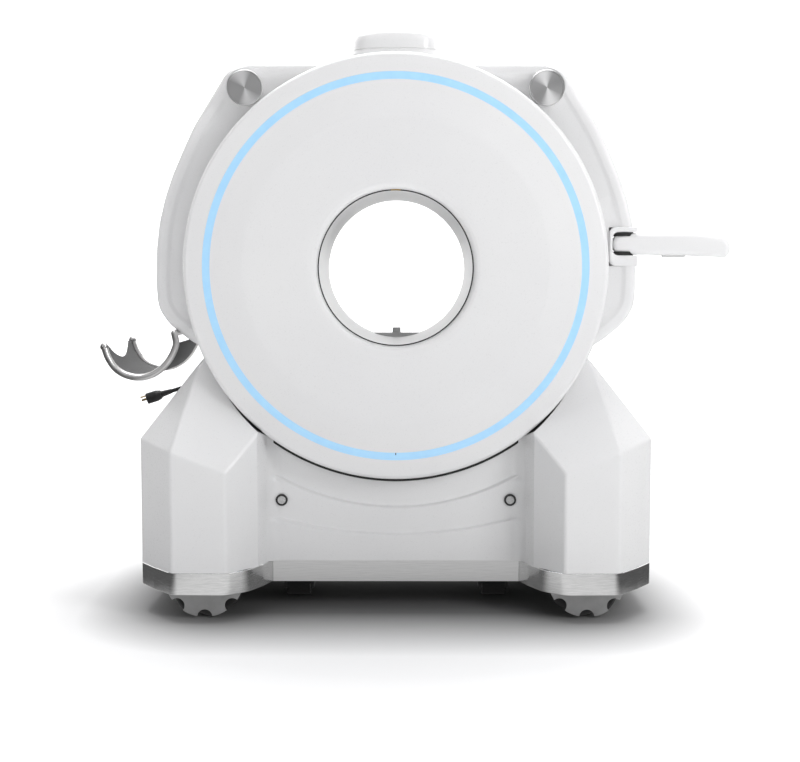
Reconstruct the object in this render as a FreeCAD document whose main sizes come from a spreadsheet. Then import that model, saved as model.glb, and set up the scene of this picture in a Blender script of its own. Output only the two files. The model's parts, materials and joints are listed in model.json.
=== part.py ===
import FreeCAD, Part
import math
import os

import Sketcher

# A mobile head CT scanner: a short gantry ring on a low wheeled base, in millimetres.
# Frame: +Z up, +Y from the patient end to the rear, origin on the floor straight below the bore axis.

SIZES = [
    ("bore_height", 918, "floor to bore axis"),
    ("bore_radius", 200, "inside of the bore tube"),
    ("bore_wall", 4, "wall of the bore tube"),
    ("bore_front", 255, "axis centre to the tube's front end"),
    ("bore_back", 222, "axis centre to the tube's back end"),
    ("ring_radius", 557, "outside of the front and rear ring covers"),
    ("ring_wall", 5, "wall of the ring covers"),
    ("half_depth", 275, "centre to the outer face of a ring cover"),
    ("ring_inboard", 157, "centre to the inboard edge of a ring cover"),
    ("facet_radius", 399, "where the flat face of a ring cover starts to slope"),
    ("light_inner", 484, "inside of the light ring"),
    ("light_outer", 504, "outside of the light ring"),
    ("light_depth", 3, "depth of the light ring"),
    ("ring_gap", 5, "gap round the ring covers"),
    ("shell_half", 175, "half length of the gantry frame's shell"),
    ("shell_wall", 6, "wall of the gantry frame's shell"),
    ("plate_front", 60, "front of the bearing plate"),
    ("plate_back", 100, "back of the bearing plate"),
    ("bearing_bore", 300, "outside of the main bearing"),
    ("race_split", 262, "inside of the outer race"),
    ("race_gap", 0.3, "gap between the races"),
    ("neck_radius", 236, "outside of the rotor's neck"),
    ("neck_inside", 215, "inside of the rotor"),
    ("rotor_radius", 515, "outside of the rotor disc"),
    ("disc_front", -20, "front of the rotor disc"),
    ("disc_back", 10, "back of the rotor disc"),
    ("belt_front", 12, "front of the belt wheel"),
    ("belt_back", 38, "back of the belt wheel"),
    ("neck_back", 140, "back of the rotor's neck"),
    ("slip_radius", 290, "outside of the slip ring"),
    ("pulley_radius", 30, "motor pulley"),
    ("pulley_across", 302, "motor pulley, to the right of the bore axis"),
    ("pulley_below", 360, "motor pulley, below the bore axis"),
    ("belt_gap", 0.3, "belt to its pulleys"),
    ("belt_thick", 4, "thickness of the belt"),
    ("base_half", 684, "half width over the bumper skirts"),
    ("skirt_low", 74, "bottom of skirts and beams"),
    ("skirt_high", 132, "top of skirts and beams"),
    ("skirt_wall", 5, "wall of the skirts and beams"),
    ("corner_across", 581, "outer front corner of a base pod"),
    ("toe_across", 435, "inner front corner of a base pod"),
    ("heel_across", 361, "where a base pod turns in"),
    ("recess_across", 332, "half width of the recess between the pods"),
    ("side_half", 217, "half length of a base pod's flat side"),
    ("bevel_across", 638, "middle of a base pod's front bevel, across"),
    ("bevel_out", 280, "middle of a base pod's front bevel, along"),
    ("corner_out", 352, "outer front corner, along"),
    ("toe_out", 358, "inner front corner, along"),
    ("heel_out", 273, "where a base pod turns in, along"),
    ("recess_out", 186, "face of the recess between the pods"),
    ("cover_inset", 3, "base covers inside the skirts"),
    ("cover_wall", 4, "wall of the base covers"),
    ("toe_crease", 394, "height of the crease at the inner front corner"),
    ("corner_crease", 446, "height of the crease at the outer front corner"),
    ("side_crease", 467, "height of the crease along the side"),
    ("peak_across", 527, "where a base cover's facets meet, across"),
    ("peak_out", 170, "where a base cover's facets meet, along"),
    ("peak_height", 670, "where a base cover's facets meet, height"),
    ("shoulder_half", 155, "half depth of the shoulder covers"),
    ("shoulder_wall", 5, "wall of the shoulder covers"),
    ("shoulder_top", 1461, "top of the shoulder covers"),
    ("pod_half", 114, "half width of the top pod"),
    ("pod_out", 178, "half length of the top pod"),
    ("pod_top", 1543, "top of the top pod"),
    ("bar_across", 400, "lifting bars, across"),
    ("bar_height", 1393, "lifting bars, height"),
    ("bar_radius", 46.5, "lifting bars"),
    ("bar_out", 196, "half length of the lifting bars"),
    ("cap_radius", 42.5, "end caps of the lifting bars"),
    ("cap_thick", 4, "end caps of the lifting bars"),
    ("arm_across", 611, "pivot of the steering arm, across"),
    ("arm_along", -129, "pivot of the steering arm, along"),
    ("arm_height", 983, "pivot of the steering arm, height"),
    ("arm_knuckle", 29, "radius of the arm's root"),
    ("arm_depth", 50, "thickness of the arm, front to back"),
    ("arm_reach", 287, "pivot to the tip of the arm"),
    ("arm_pin_radius", 8, "pin of the steering arm"),
    ("pocket_low", 924, "floor of the arm's channel"),
    ("pocket_high", 1027, "roof of the arm's channel"),
    ("pocket_across", 571, "back of the arm's channel"),
    ("trigger_long", 62, "trigger under the arm"),
    ("trigger_wide", 14, "trigger under the arm"),
    ("trigger_gap", 0.4, "clearance round the trigger"),
    ("trigger_proud", 7, "trigger below the arm"),
    ("wheel_radius", 107, "mecanum wheels"),
    ("wheel_across", 502, "mecanum wheels, across"),
    ("wheel_out", 258, "middle of a mecanum wheel, along"),
    ("wheel_width", 84, "mecanum wheels"),
    ("hanger_out", 196, "inboard face of a wheel hanger, along"),
    ("hanger_thick", 12, "thickness of a wheel hanger"),
    ("roller_ring", 89, "circle of the roller axes"),
    ("roller_long", 68, "length of a roller"),
    ("axle_radius", 4, "roller axles"),
    ("axle_long", 104, "roller axles"),
    ("shaft_radius", 15, "wheel shafts"),
    ("shaft_gap", 0.3, "running gap of the wheel shafts"),
    ("deck_low", 200, "underside of the chassis decks"),
    ("deck_high", 212, "top of the chassis decks"),
    ("floor_low", 140, "underside of the chassis floor"),
    ("floor_high", 165, "top of the chassis floor"),
    ("saddle_front", 110, "inboard face of a gantry saddle"),
    ("saddle_thick", 30, "thickness of a gantry saddle"),
    ("saddle_half", 460, "half width of a gantry saddle"),
    ("saddle_top", 560, "top of a gantry saddle"),
    ("crawler_across", 270, "middle of a crawler, across"),
    ("crawler_wide", 82, "width of a crawler"),
    ("crawler_half", 105, "half length of a crawler"),
    ("crawler_lift", 10, "crawler above the floor when raised"),
    ("crawler_wheel", 30, "crawler pulley"),
    ("track_thick", 6, "crawler track"),
    ("panel_half", 328, "half width of the centre panels"),
    ("panel_wall", 4, "thickness of a centre panel and of each step"),
    ("step_radius", 641, "upper step of the centre panels, about the bore"),
    ("sweep_radius", 1172, "lower step of the centre panels"),
    ("sweep_height", 204, "lower step of the centre panels, at the middle"),
    ("sensor_across", 307, "round sensors, across"),
    ("sensor_height", 297, "round sensors, height"),
    ("sensor_radius", 16, "round sensors"),
    ("rail_radius", 9, "rails of the side cradle"),
    ("cradle_front", -166, "front rail of the side cradle"),
    ("cradle_back", 205, "rear rail of the side cradle"),
    ("lining_thick", 3, "lining of the side cradle"),
    ("cord_diameter", 12, "power cord"),
    ("dock_drop", 12, "docking plate above the bottom of the bore"),
]

doc = FreeCAD.newDocument("ct_scanner")
sheet = doc.addObject("Spreadsheet::Sheet", "Sizes")


class Size:
    """A length that keeps its formula in sheet names beside its number."""

    def __init__(self, text, number):
        self.text = text
        self.number = number

    def __add__(self, other):
        other = sized(other)
        return Size(f"({self.text} + {other.text})", self.number + other.number)

    def __sub__(self, other):
        other = sized(other)
        return Size(f"({self.text} - {other.text})", self.number - other.number)

    def __mul__(self, other):
        other = sized(other)
        return Size(f"({self.text} * {other.text})", self.number * other.number)

    def __truediv__(self, other):
        other = sized(other)
        return Size(f"({self.text} / {other.text})", self.number / other.number)

    def __neg__(self):
        return Size(f"(0 - {self.text})", -self.number)

    def __radd__(self, other):
        return sized(other) + self

    def __rsub__(self, other):
        return sized(other) - self

    def __rmul__(self, other):
        return sized(other) * self

    def __float__(self):
        return float(self.number)


def sized(value):
    return value if isinstance(value, Size) else Size(f"({value})", float(value))


class Cells:
    """The spreadsheet's cells, each a Size under its alias."""


def fill_sheet():
    cells = Cells()
    for row, (alias, number, note) in enumerate(SIZES, 1):
        sheet.set(f"A{row}", note)
        sheet.set(f"B{row}", str(number))
        sheet.setAlias(f"B{row}", alias)
        setattr(cells, alias, Size(f"Sizes.{alias}", float(number)))
    doc.recompute()
    return cells


S = fill_sheet()
SIDES = (("left", -1), ("right", 1))
PARTS = []


def bind(thing, name, value):
    """Drive one property of an object by its formula."""
    thing.setExpression(name, sized(value).text)


def place(thing, at, rotation=None):
    thing.Placement = FreeCAD.Placement(FreeCAD.Vector(), rotation or FreeCAD.Rotation())
    for axis, value in zip("xyz", at):
        bind(thing, f"Placement.Base.{axis}", value)


def keep(label, thing):
    """Take an object as a finished sub-part."""
    thing.Label = label
    PARTS.append(thing)
    return thing


def vector(*values):
    return FreeCAD.Vector(*(float(value) for value in values))


# Part primitives


def box(x, y, z):
    """A block between two bounds along each axis."""
    block = doc.addObject("Part::Box", "Block")
    for name, (low, high) in zip(("Length", "Width", "Height"), (x, y, z)):
        bind(block, name, sized(high) - sized(low))
    place(block, [low for low, high in (x, y, z)])
    return block


ACROSS = FreeCAD.Vector(1, 0, 0)
ALONG = FreeCAD.Vector(0, 1, 0)
ALONG_Y = FreeCAD.Rotation(ACROSS, -90)
UPRIGHT = FreeCAD.Rotation()


def rod(radius, at, length, rotation=ALONG_Y):
    """A cylinder that starts at a point and runs along +Y unless turned."""
    cylinder = doc.addObject("Part::Cylinder", "Rod")
    bind(cylinder, "Radius", radius)
    bind(cylinder, "Height", length)
    place(cylinder, at, rotation)
    return cylinder


def fuse(*things):
    made = doc.addObject("Part::MultiFuse", "Fuse")
    made.Shapes = list(things)
    return made


def cut(base, *tools):
    made = doc.addObject("Part::Cut", "Cut")
    made.Base = base
    made.Tool = tools[0] if len(tools) == 1 else fuse(*tools)
    return made


def group(*things):
    made = doc.addObject("Part::Compound", "Group")
    made.Links = list(things)
    return made


# PartDesign bodies


def origin_plane(body, role):
    return next(feature for feature in body.Origin.OriginFeatures if feature.Role == role)


def sketch_on(body, role):
    sketch = body.newObject("Sketcher::SketchObject", "Profile")
    sketch.AttachmentSupport = (origin_plane(body, role), [""])
    sketch.MapMode = "FlatFace"
    return sketch


def sketch_polygon(sketch, points):
    """A closed polygon whose corners are driven from the sheet."""
    count = len(points)
    spots = [vector(u, v, 0) for u, v in points]
    lines = [Part.LineSegment(spots[i], spots[(i + 1) % count]) for i in range(count)]
    sketch.addGeometry(lines, False)
    joins = [Sketcher.Constraint("Coincident", i, 2, (i + 1) % count, 1) for i in range(count)]
    sketch.addConstraint(joins)
    for i, (u, v) in enumerate(points):
        for kind, value in (("DistanceX", sized(u)), ("DistanceY", sized(v))):
            index = sketch.addConstraint(Sketcher.Constraint(kind, -1, 1, i, 1, value.number))
            sketch.setExpression(f"Constraints[{index}]", value.text)


def turned(points, at, angle=360, start=0):
    """A body turned about an axis along Y: points are (radius, y)."""
    body = doc.addObject("PartDesign::Body", "Turned")
    sketch = sketch_on(body, "XY_Plane")
    sketch_polygon(sketch, points)
    feature = body.newObject("PartDesign::Revolution", "Revolution")
    feature.Profile = sketch
    feature.ReferenceAxis = (sketch, ["V_Axis"])
    feature.Angle = angle
    place(body, at, FreeCAD.Rotation(ALONG, start))
    return body


def bore_hole(body, across, up, radius, length):
    """A round pocket along Y through a body, both ways from its middle plane."""
    sketch = sketch_on(body, "XZ_Plane")
    sketch.addGeometry(Part.Circle(vector(across, up, 0), vector(0, 0, 1), float(radius)), False)
    limits = (
        ("Radius", (0,), radius),
        ("DistanceX", (-1, 1, 0, 3), across),
        ("DistanceY", (-1, 1, 0, 3), up),
    )
    for kind, where, value in limits:
        index = sketch.addConstraint(Sketcher.Constraint(kind, *where, float(value)))
        sketch.setExpression(f"Constraints[{index}]", sized(value).text)
    feature = body.newObject("PartDesign::Pocket", "Hole")
    feature.Profile = sketch
    feature.Midplane = True
    bind(feature, "Length", length)
    return body


# shapes made with Part's own functions


def shaped(shape):
    feature = doc.addObject("Part::Feature", "Shape")
    feature.Shape = shape
    return feature


def plan_face(points):
    corners = [vector(x, y, 0) for x, y in points]
    return Part.Face(Part.makePolygon(corners + corners[:1]))


def front_face(points):
    """A face in the XZ plane from (x, z) corners."""
    corners = [vector(x, 0, z) for x, z in points]
    return Part.Face(Part.makePolygon(corners + corners[:1]))


def cylinder_y(radius, x, z, half):
    start = vector(x, -float(half), z)
    return Part.makeCylinder(float(radius), 2 * float(half), start, ALONG)


def round_edges(shape, radius, wanted):
    """Fillet every edge that the test picks."""
    return shape.makeFillet(radius, [edge for edge in shape.Edges if wanted(edge)])


def mirror_x(shape, side):
    """The same shape for the left side, where it was drawn for the right."""
    if side > 0:
        return shape
    return shape.mirror(FreeCAD.Vector(0, 0, 0), ACROSS)


def rounded_path(points, share=0.45):
    """Straight runs joined by tangent arcs, each as large as its two runs allow."""
    spots = [vector(*point) for point in points]
    edges = []
    radii = []
    last = spots[0]
    for before, here, after in zip(spots, spots[1:], spots[2:]):
        arrive = (here - before).normalize()
        leave = (after - here).normalize()
        turn = arrive.getAngle(leave)
        trim = share * min((here - before).Length, (after - here).Length)
        start = here - arrive * trim
        end = here + leave * trim
        radii.append(trim / math.tan(turn / 2))
        inward = (leave - arrive).normalize()
        sag = radii[-1] * (1 / math.cos(turn / 2) - 1)
        edges.append(Part.LineSegment(last, start).toShape())
        edges.append(Part.Arc(start, here + inward * sag, end).toShape())
        last = end
    edges.append(Part.LineSegment(last, spots[-1]).toShape())
    return Part.Wire(edges), radii


def tube_along(points, radius, share=0.45):
    path, radii = rounded_path(points, share)
    spots = [vector(*point) for point in points[:2]]
    ring = Part.Circle(spots[0], spots[1] - spots[0], float(radius)).toShape()
    tube = path.makePipeShell([Part.Wire([ring])], True, True)
    expected = math.pi * float(radius) ** 2 * path.Length
    if abs(tube.Volume - expected) > 0.01 * expected:
        raise ValueError("a tube's volume isn't its section times its length")
    return tube, path.Length, radii


# gantry: ring covers, bore and frame

BORE = (0, 0, S.bore_height)
RIM_ROUND = 12


def ring_cover(side, flare_start, flare_steps, light):
    """A ring cover shell, from the bore's flare round to its skirt; side is -1 at the front."""

    def along(value):
        return sized(value) * side

    slope = Size("(10)", 10.0) / (S.ring_radius - RIM_ROUND - S.facet_radius)
    face = S.half_depth - 3

    def face_at(radius):
        return face - (radius - S.facet_radius) * slope

    rim = S.ring_radius - RIM_ROUND
    outer = [(S.bore_radius + dr, along(flare_start + dy)) for dr, dy in flare_steps]
    outer += [(S.facet_radius, along(face))]
    if light:
        for radius in (S.light_inner, S.light_outer):
            drops = (0, S.light_depth) if radius is S.light_inner else (S.light_depth, 0)
            outer += [(radius, along(face_at(radius) - drop)) for drop in drops]
    outer += [(rim, along(face_at(rim))), (rim + 5, along(face_at(rim) - 1.5))]
    outer += [(rim + 10, along(face_at(rim) - 6)), (S.ring_radius, along(face_at(rim) - RIM_ROUND))]
    inner = [(S.ring_radius, along(S.ring_inboard)), (S.ring_radius - S.ring_wall, along(S.ring_inboard))]
    inner += [(S.ring_radius - S.ring_wall, along(face_at(rim) - RIM_ROUND))]
    inner += [(rim - 3, along(face_at(rim) - S.ring_wall - 1))]
    inner += [(S.facet_radius, along(face - S.ring_wall - 1))]
    dr, dy = flare_steps[-1]
    inner += [(S.bore_radius + dr, along(flare_start + dy - S.ring_wall - 1))]
    inner += [(S.bore_radius + flare_steps[0][0] + 5, along(flare_start))]
    return turned(outer + inner, BORE)


FRONT_FLARE = [(3, 0), (4, 7), (8, 13), (17, 17)]
REAR_FLARE = [(1, 0), (8, 18), (22, 40), (45, 53)]
keep("front_cover", ring_cover(-1, S.bore_front + 3, FRONT_FLARE, True))
keep("rear_cover", ring_cover(1, S.bore_back, REAR_FLARE, False))


def light_ring():
    """The light strip fills the front cover's groove and follows its slope."""
    slope = Size("(10)", 10.0) / (S.ring_radius - RIM_ROUND - S.facet_radius)
    fit = 0.2
    corners = []
    for radius in (S.light_inner + fit, S.light_outer - fit):
        level = S.half_depth - 3 - (radius - S.facet_radius) * slope
        corners.append([(radius, -level), (radius, -level + S.light_depth)])
    return turned(corners[0] + corners[1][::-1], BORE)


keep("light_ring", light_ring())

tube_outside = S.bore_radius + S.bore_wall
tube_profile = [
    (S.bore_radius, -S.bore_front),
    (tube_outside, -S.bore_front),
    (tube_outside, S.bore_back),
    (S.bore_radius, S.bore_back),
]
DOCK_BOLT = 3.3
dock_top = S.bore_height - S.bore_radius + S.dock_drop
dock_bolts = [
    rod(DOCK_BOLT, (across, S.bore_back - 25, dock_top - 14), 15, UPRIGHT) for across in (-40, 40)
]
keep("bore_tube", cut(turned(tube_profile, BORE), *dock_bolts))

shell_outside = S.ring_radius - S.ring_wall
shell_inside = shell_outside - S.shell_wall
frame_points = [
    (shell_outside, -S.shell_half),
    (shell_outside, S.shell_half),
    (shell_inside, S.shell_half),
    (shell_inside, S.plate_back),
    (S.bearing_bore, S.plate_back),
    (S.bearing_bore, S.plate_front),
    (shell_inside, S.plate_front),
    (shell_inside, -S.shell_half),
]
gantry_frame = turned(frame_points, BORE)
bore_hole(gantry_frame, S.pulley_across, -S.pulley_below, 10.3, 4 * S.plate_back)
keep("gantry_frame", gantry_frame)

# rotor: it turns about the bore axis


def ring_piece(inner, outer, front, back):
    return turned([(inner, front), (outer, front), (outer, back), (inner, back)], BORE)


keep("bearing_outer_race", ring_piece(S.race_split, S.bearing_bore, S.plate_front, S.plate_back))
inner_race_outside = S.race_split - S.race_gap
keep("bearing_inner_race", ring_piece(S.neck_radius, inner_race_outside, S.plate_front, S.plate_back))
rotor_points = [
    (S.neck_inside, S.disc_front),
    (S.rotor_radius, S.disc_front),
    (S.rotor_radius, S.disc_back),
    (S.bearing_bore, S.disc_back),
    (S.bearing_bore, S.belt_back),
    (S.neck_radius, S.belt_back),
    (S.neck_radius, S.neck_back),
    (S.neck_inside, S.neck_back),
]
keep("rotor_drum", turned(rotor_points, BORE))
keep("slip_ring", ring_piece(S.neck_radius, S.slip_radius, S.plate_back + 1, S.neck_back - 1))

TUBE_RING = 400
TUBE_RADIUS = 85
keep("xray_tube", rod(TUBE_RADIUS, (0, S.disc_front - 130, S.bore_height + TUBE_RING), 130))
keep(
    "collimator",
    box(
        (-60, 60),
        (S.disc_front - 90, S.disc_front),
        (S.bore_height + TUBE_RING - TUBE_RADIUS - 62, S.bore_height + TUBE_RING - TUBE_RADIUS),
    ),
)
DETECTOR_ANGLE = 70
detector_points = [(radius, S.disc_front - 90) for radius in (400, 450)]
detector_points += [(radius, S.disc_front) for radius in (450, 400)]
keep("detector_array", turned(detector_points, BORE, DETECTOR_ANGLE, 90 - DETECTOR_ANGLE / 2))
high = (S.bore_height - 90, S.bore_height + 90)
keep("hv_generator", box((-470, -300), (S.disc_front - 130, S.disc_front), high))
keep("data_module", box((300, 450), (S.disc_front - 110, S.disc_front), high))

# rotor drive

motor_at = (S.pulley_across, S.plate_back, S.bore_height - S.pulley_below)
keep("drive_motor", rod(42, motor_at, 80))
pulley = fuse(
    rod(S.pulley_radius, (S.pulley_across, S.belt_front, motor_at[2]), S.belt_back - S.belt_front),
    rod(10, (S.pulley_across, S.belt_back, motor_at[2]), S.plate_back - 0.3 - S.belt_back),
)
keep("motor_pulley", pulley)


def belt_outline(grow):
    """Outline of a belt round the belt wheel and the motor pulley, as a face in XZ."""
    big = float(S.bearing_bore) + grow
    small = float(S.pulley_radius) + grow
    reach = vector(S.pulley_across, 0, -S.pulley_below)
    line = math.atan2(reach.z, reach.x)
    lean = math.acos((big - small) / reach.Length)
    centre = vector(0, 0, S.bore_height)

    def on(middle, radius, angle):
        return middle + FreeCAD.Vector(radius * math.cos(angle), 0, radius * math.sin(angle))

    far = centre + reach
    ends = [on(centre, big, line + lean), on(centre, big, line - lean)]
    tips = [on(far, small, line + lean), on(far, small, line - lean)]
    edges = [
        Part.Arc(ends[0], on(centre, big, line + math.pi), ends[1]).toShape(),
        Part.LineSegment(ends[1], tips[1]).toShape(),
        Part.Arc(tips[1], on(far, small, line), tips[0]).toShape(),
        Part.LineSegment(tips[0], ends[0]).toShape(),
    ]
    return Part.Face(Part.Wire(edges))


def drive_belt():
    gap = float(S.belt_gap)
    loop = belt_outline(gap + float(S.belt_thick)).cut(belt_outline(gap))
    run = vector(0, S.belt_back - S.belt_front - 2, 0)
    loop.translate(vector(0, S.belt_front + 1, 0))
    return loop.extrude(run)


keep("drive_belt", shaped(drive_belt()))
brush_low = S.bore_height + S.slip_radius + 1
keep("brush_block", box((-30, 30), (S.plate_back, S.neck_back - 1), (brush_low, brush_low + 54)))

# base: chassis, saddles, skirts, covers

POST_RADIUS = 14
POSTS_ALONG = (-50, 50)


def chassis():
    """A floor with two saddles for the ring, and a deck with wheel hangers bolted on each side."""
    floor = box((-S.recess_across - 20, S.recess_across + 20), (-180, 180), (S.floor_low, S.floor_high))
    guides = [
        rod(POST_RADIUS + 0.3, (side * S.crawler_across, along, S.floor_low - 5), 60, UPRIGHT)
        for name, side in SIDES
        for along in POSTS_ALONG
    ]
    middle = [cut(floor, *guides)]
    saddles = []
    for end in (-1, 1):
        faces = sorted((end * S.recess_out, end * 180), key=float)
        middle.append(box((-S.panel_half, S.panel_half), faces, (S.skirt_low + 26, S.floor_high)))
        faces = sorted((end * S.saddle_front, end * (S.saddle_front + S.saddle_thick)), key=float)
        block = box((-S.saddle_half, S.saddle_half), faces, (S.floor_high, S.saddle_top))
        seat = rod(shell_outside + 0.3, (0, faces[0] - 5, S.bore_height), S.saddle_thick + 10)
        saddles.append(block)
        middle.append(cut(block, seat))
    sections = [fuse(*middle)]
    for name, side in SIDES:

        def across(low, high):
            return sorted((side * sized(low), side * sized(high)), key=float)

        hanger_end = S.hanger_out + S.hanger_thick
        deck = [
            box(across(340, 640), (-180, 180), (S.deck_low, S.deck_high)),
            box(across(372, 640), (-hanger_end, hanger_end), (S.deck_low, S.deck_high)),
            box(across(340, 352), (-180, 180), (S.floor_high, S.deck_high)),
            box(across(622, 634), (-60, 60), (84, S.deck_high)),
            box(across(634, S.base_half - S.skirt_wall), (-60, 60), (84, 122)),
        ]
        for end in (-1, 1):
            faces = sorted((end * S.hanger_out, end * hanger_end), key=float)
            low_x, high_x = across(S.wheel_across - 70, S.wheel_across + 70)
            plate = box((low_x, high_x), faces, (48, S.deck_low))
            hole = rod(
                S.shaft_radius + S.shaft_gap,
                (side * S.wheel_across, faces[0] - 5, S.wheel_radius),
                faces[1] - faces[0] + 10,
            )
            deck.append(cut(plate, hole))
        sections.append(cut(fuse(*deck), *saddles))
    return group(*sections)


keep("chassis", chassis())


def pod_plan(with_bevel):
    """Plan of the right base pod, from its recess round to the rear."""
    half = [
        (S.recess_across, -S.recess_out),
        (S.heel_across, -S.heel_out),
        (S.toe_across, -S.toe_out),
        (S.corner_across, -S.corner_out),
    ]
    if with_bevel:
        half.append((S.bevel_across, -S.bevel_out))
    half.append((S.base_half, -S.side_half))
    return half + [(x, -y) for x, y in half[::-1]]


def opened(shape, low, high):
    """Cut away the wall that faces the recess between the pods."""
    reach = float(S.recess_out) - 2
    gap = Part.makeBox(40, 2 * reach, high - low, vector(S.recess_across - 10, -reach, low))
    return shape.cut(gap)


def skirt(side):
    outer = plan_face(pod_plan(True))
    strip = outer.cut(outer.makeOffset2D(-float(S.skirt_wall), 2))
    strip.translate(vector(0, 0, S.skirt_low))
    solid = strip.extrude(vector(0, 0, S.skirt_high - S.skirt_low))
    return mirror_x(opened(solid, float(S.skirt_low) - 1, float(S.skirt_high) + 1), side)


def sloped_cuts(solid, inset):
    """Slope the top of a base cover with its front, bevel and side facets, and the same at the rear."""
    peak = vector(S.peak_across, -S.peak_out, S.peak_height)
    toe = vector(S.toe_across, -S.toe_out, S.toe_crease)
    corner = vector(S.corner_across, -S.corner_out, S.corner_crease)
    flank = vector(S.base_half, -S.side_half, S.side_crease)
    behind = vector(S.base_half, 0, S.side_crease)
    for first, second in ((toe, corner), (corner, flank), (flank, behind)):
        normal = (second - first).cross(peak - first).normalize()
        for flip in (1, -1):
            face = FreeCAD.Vector(normal.x, flip * normal.y, normal.z)
            spot = FreeCAD.Vector(first.x, flip * first.y, first.z) - face * inset
            away = Part.makeBox(3000, 3000, 1500, FreeCAD.Vector(-1500, -1500, 0))
            away.Placement = FreeCAD.Placement(spot, FreeCAD.Rotation(FreeCAD.Vector(0, 0, 1), face))
            solid = solid.cut(away)
    return solid


def cover_solid(inset, low):
    face = plan_face(pod_plan(False)).makeOffset2D(-inset, 2)
    face.translate(vector(0, 0, low))
    solid = face.extrude(vector(0, 0, S.bore_height - low))
    return sloped_cuts(solid, inset)


def outward_edge(edge):
    """A straight edge of a base cover away from its foot and from the recess."""
    box_of = edge.BoundBox
    return box_of.ZMax > float(S.skirt_high) + 1 and box_of.XMax > float(S.heel_across) + 5


def base_cover(side):
    inset = float(S.cover_inset)
    outer = cover_solid(inset, S.skirt_high)
    outer = round_edges(outer, 14, outward_edge)
    inner = cover_solid(inset + float(S.cover_wall), float(S.skirt_high) - 1)
    solid = outer.cut(inner)
    solid = solid.cut(cylinder_y(S.ring_radius + S.ring_gap, 0, S.bore_height, 500))
    return mirror_x(opened(solid, float(S.skirt_high) - 1, float(S.bore_height)), side)


for name, side in SIDES:
    keep(f"bumper_skirt_{name}", shaped(skirt(side)))
    keep(f"base_cover_{name}", shaped(base_cover(side)))

beams = []
for end in (-1, 1):
    faces = sorted((end * S.recess_out, end * (S.recess_out + S.skirt_wall)), key=float)
    beams.append(box((-S.recess_across, S.recess_across), faces, (S.skirt_low, S.skirt_high)))
keep("cross_beams", group(*beams))


def centre_panel(end):
    """A panel above a beam with two curved steps, trimmed round the ring covers."""
    clear = S.ring_radius + S.ring_gap

    def layer(step, radius, centre):
        faces = sorted(
            (end * (S.recess_out + step * S.panel_wall), end * (S.recess_out + (step + 1) * S.panel_wall)),
            key=float,
        )
        sheet_box = box((-S.panel_half, S.panel_half), faces, (S.skirt_high, S.bore_height - 380))
        return cut(sheet_box, rod(radius, (0, faces[0] - 1, centre), S.panel_wall + 2))

    return fuse(
        layer(0, clear, S.bore_height),
        layer(1, S.step_radius, S.bore_height),
        layer(2, S.sweep_radius, S.sweep_height + S.sweep_radius),
    )


keep("front_panel", centre_panel(-1))
keep("rear_panel", centre_panel(1))
sensor_face = -(S.recess_out + 2 * S.panel_wall)
sensors = [
    rod(S.sensor_radius, (side * S.sensor_across, sensor_face - 5, S.sensor_height), 5)
    for name, side in SIDES
]
keep("panel_sensors", group(*sensors))

# wheels


def wheel_spots():
    for end_name, end in (("front", -1), ("rear", 1)):
        for name, side in SIDES:
            yield f"{end_name}_{name}", side, end


ROLLERS = 8
NOTCH = 20
PLATE_RADIUS = 103
PLATE_THICK = 6


def wheel_hub(side, end):
    """Two notched side plates on a hub, with the shaft that runs in the chassis."""
    half = float(S.wheel_width) / 2
    middle = vector(side * S.wheel_across, end * S.wheel_out, S.wheel_radius)
    core = Part.makeCylinder(56, 2 * half, middle - ALONG * half, ALONG)
    plates = [
        Part.makeCylinder(PLATE_RADIUS, PLATE_THICK, middle + ALONG * start, ALONG)
        for start in (-half, half - PLATE_THICK)
    ]
    hub = core.multiFuse(plates)
    inward = FreeCAD.Vector(0, -end, 0)
    hollow = Part.makeCylinder(44, half, middle - inward * half, -inward)
    hollow.translate(inward * half)
    hub = hub.cut(hollow)
    stub_long = float(S.wheel_out - S.hanger_out)
    stub = Part.makeCylinder(float(S.shaft_radius), stub_long, middle, inward)
    hub = hub.fuse(stub)
    for step in range(ROLLERS):
        angle = 2 * math.pi * step / ROLLERS
        spot = FreeCAD.Vector(math.cos(angle), 0, math.sin(angle)) * PLATE_RADIUS
        notch = Part.makeCylinder(NOTCH, 2 * half + 2, middle + spot - ALONG * (half + 1), ALONG)
        hub = hub.cut(notch)
    return hub


def roller():
    """One barrel roller along Z, whose rolling envelope is the wheel's circle."""
    half = float(S.roller_long) / 2
    ring = float(S.roller_ring)
    reach = float(S.wheel_radius)

    def radius_at(along):
        return reach - math.hypot(ring, along * math.sin(math.radians(45)))

    steps = [half * share for share in (-1, 0, 1)]
    rim = [FreeCAD.Vector(radius_at(along), 0, along) for along in steps]
    edges = [
        Part.Arc(*rim).toShape(),
        Part.LineSegment(rim[2], vector(0, 0, half)).toShape(),
        Part.LineSegment(vector(0, 0, half), vector(0, 0, -half)).toShape(),
        Part.LineSegment(vector(0, 0, -half), rim[0]).toShape(),
    ]
    barrel = Part.Face(Part.Wire(edges)).revolve(vector(0, 0, 0), vector(0, 0, 1), 360)
    axle_half = float(S.axle_long) / 2
    return barrel.fuse(Part.makeCylinder(float(S.axle_radius), 2 * axle_half, vector(0, 0, -axle_half)))


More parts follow.
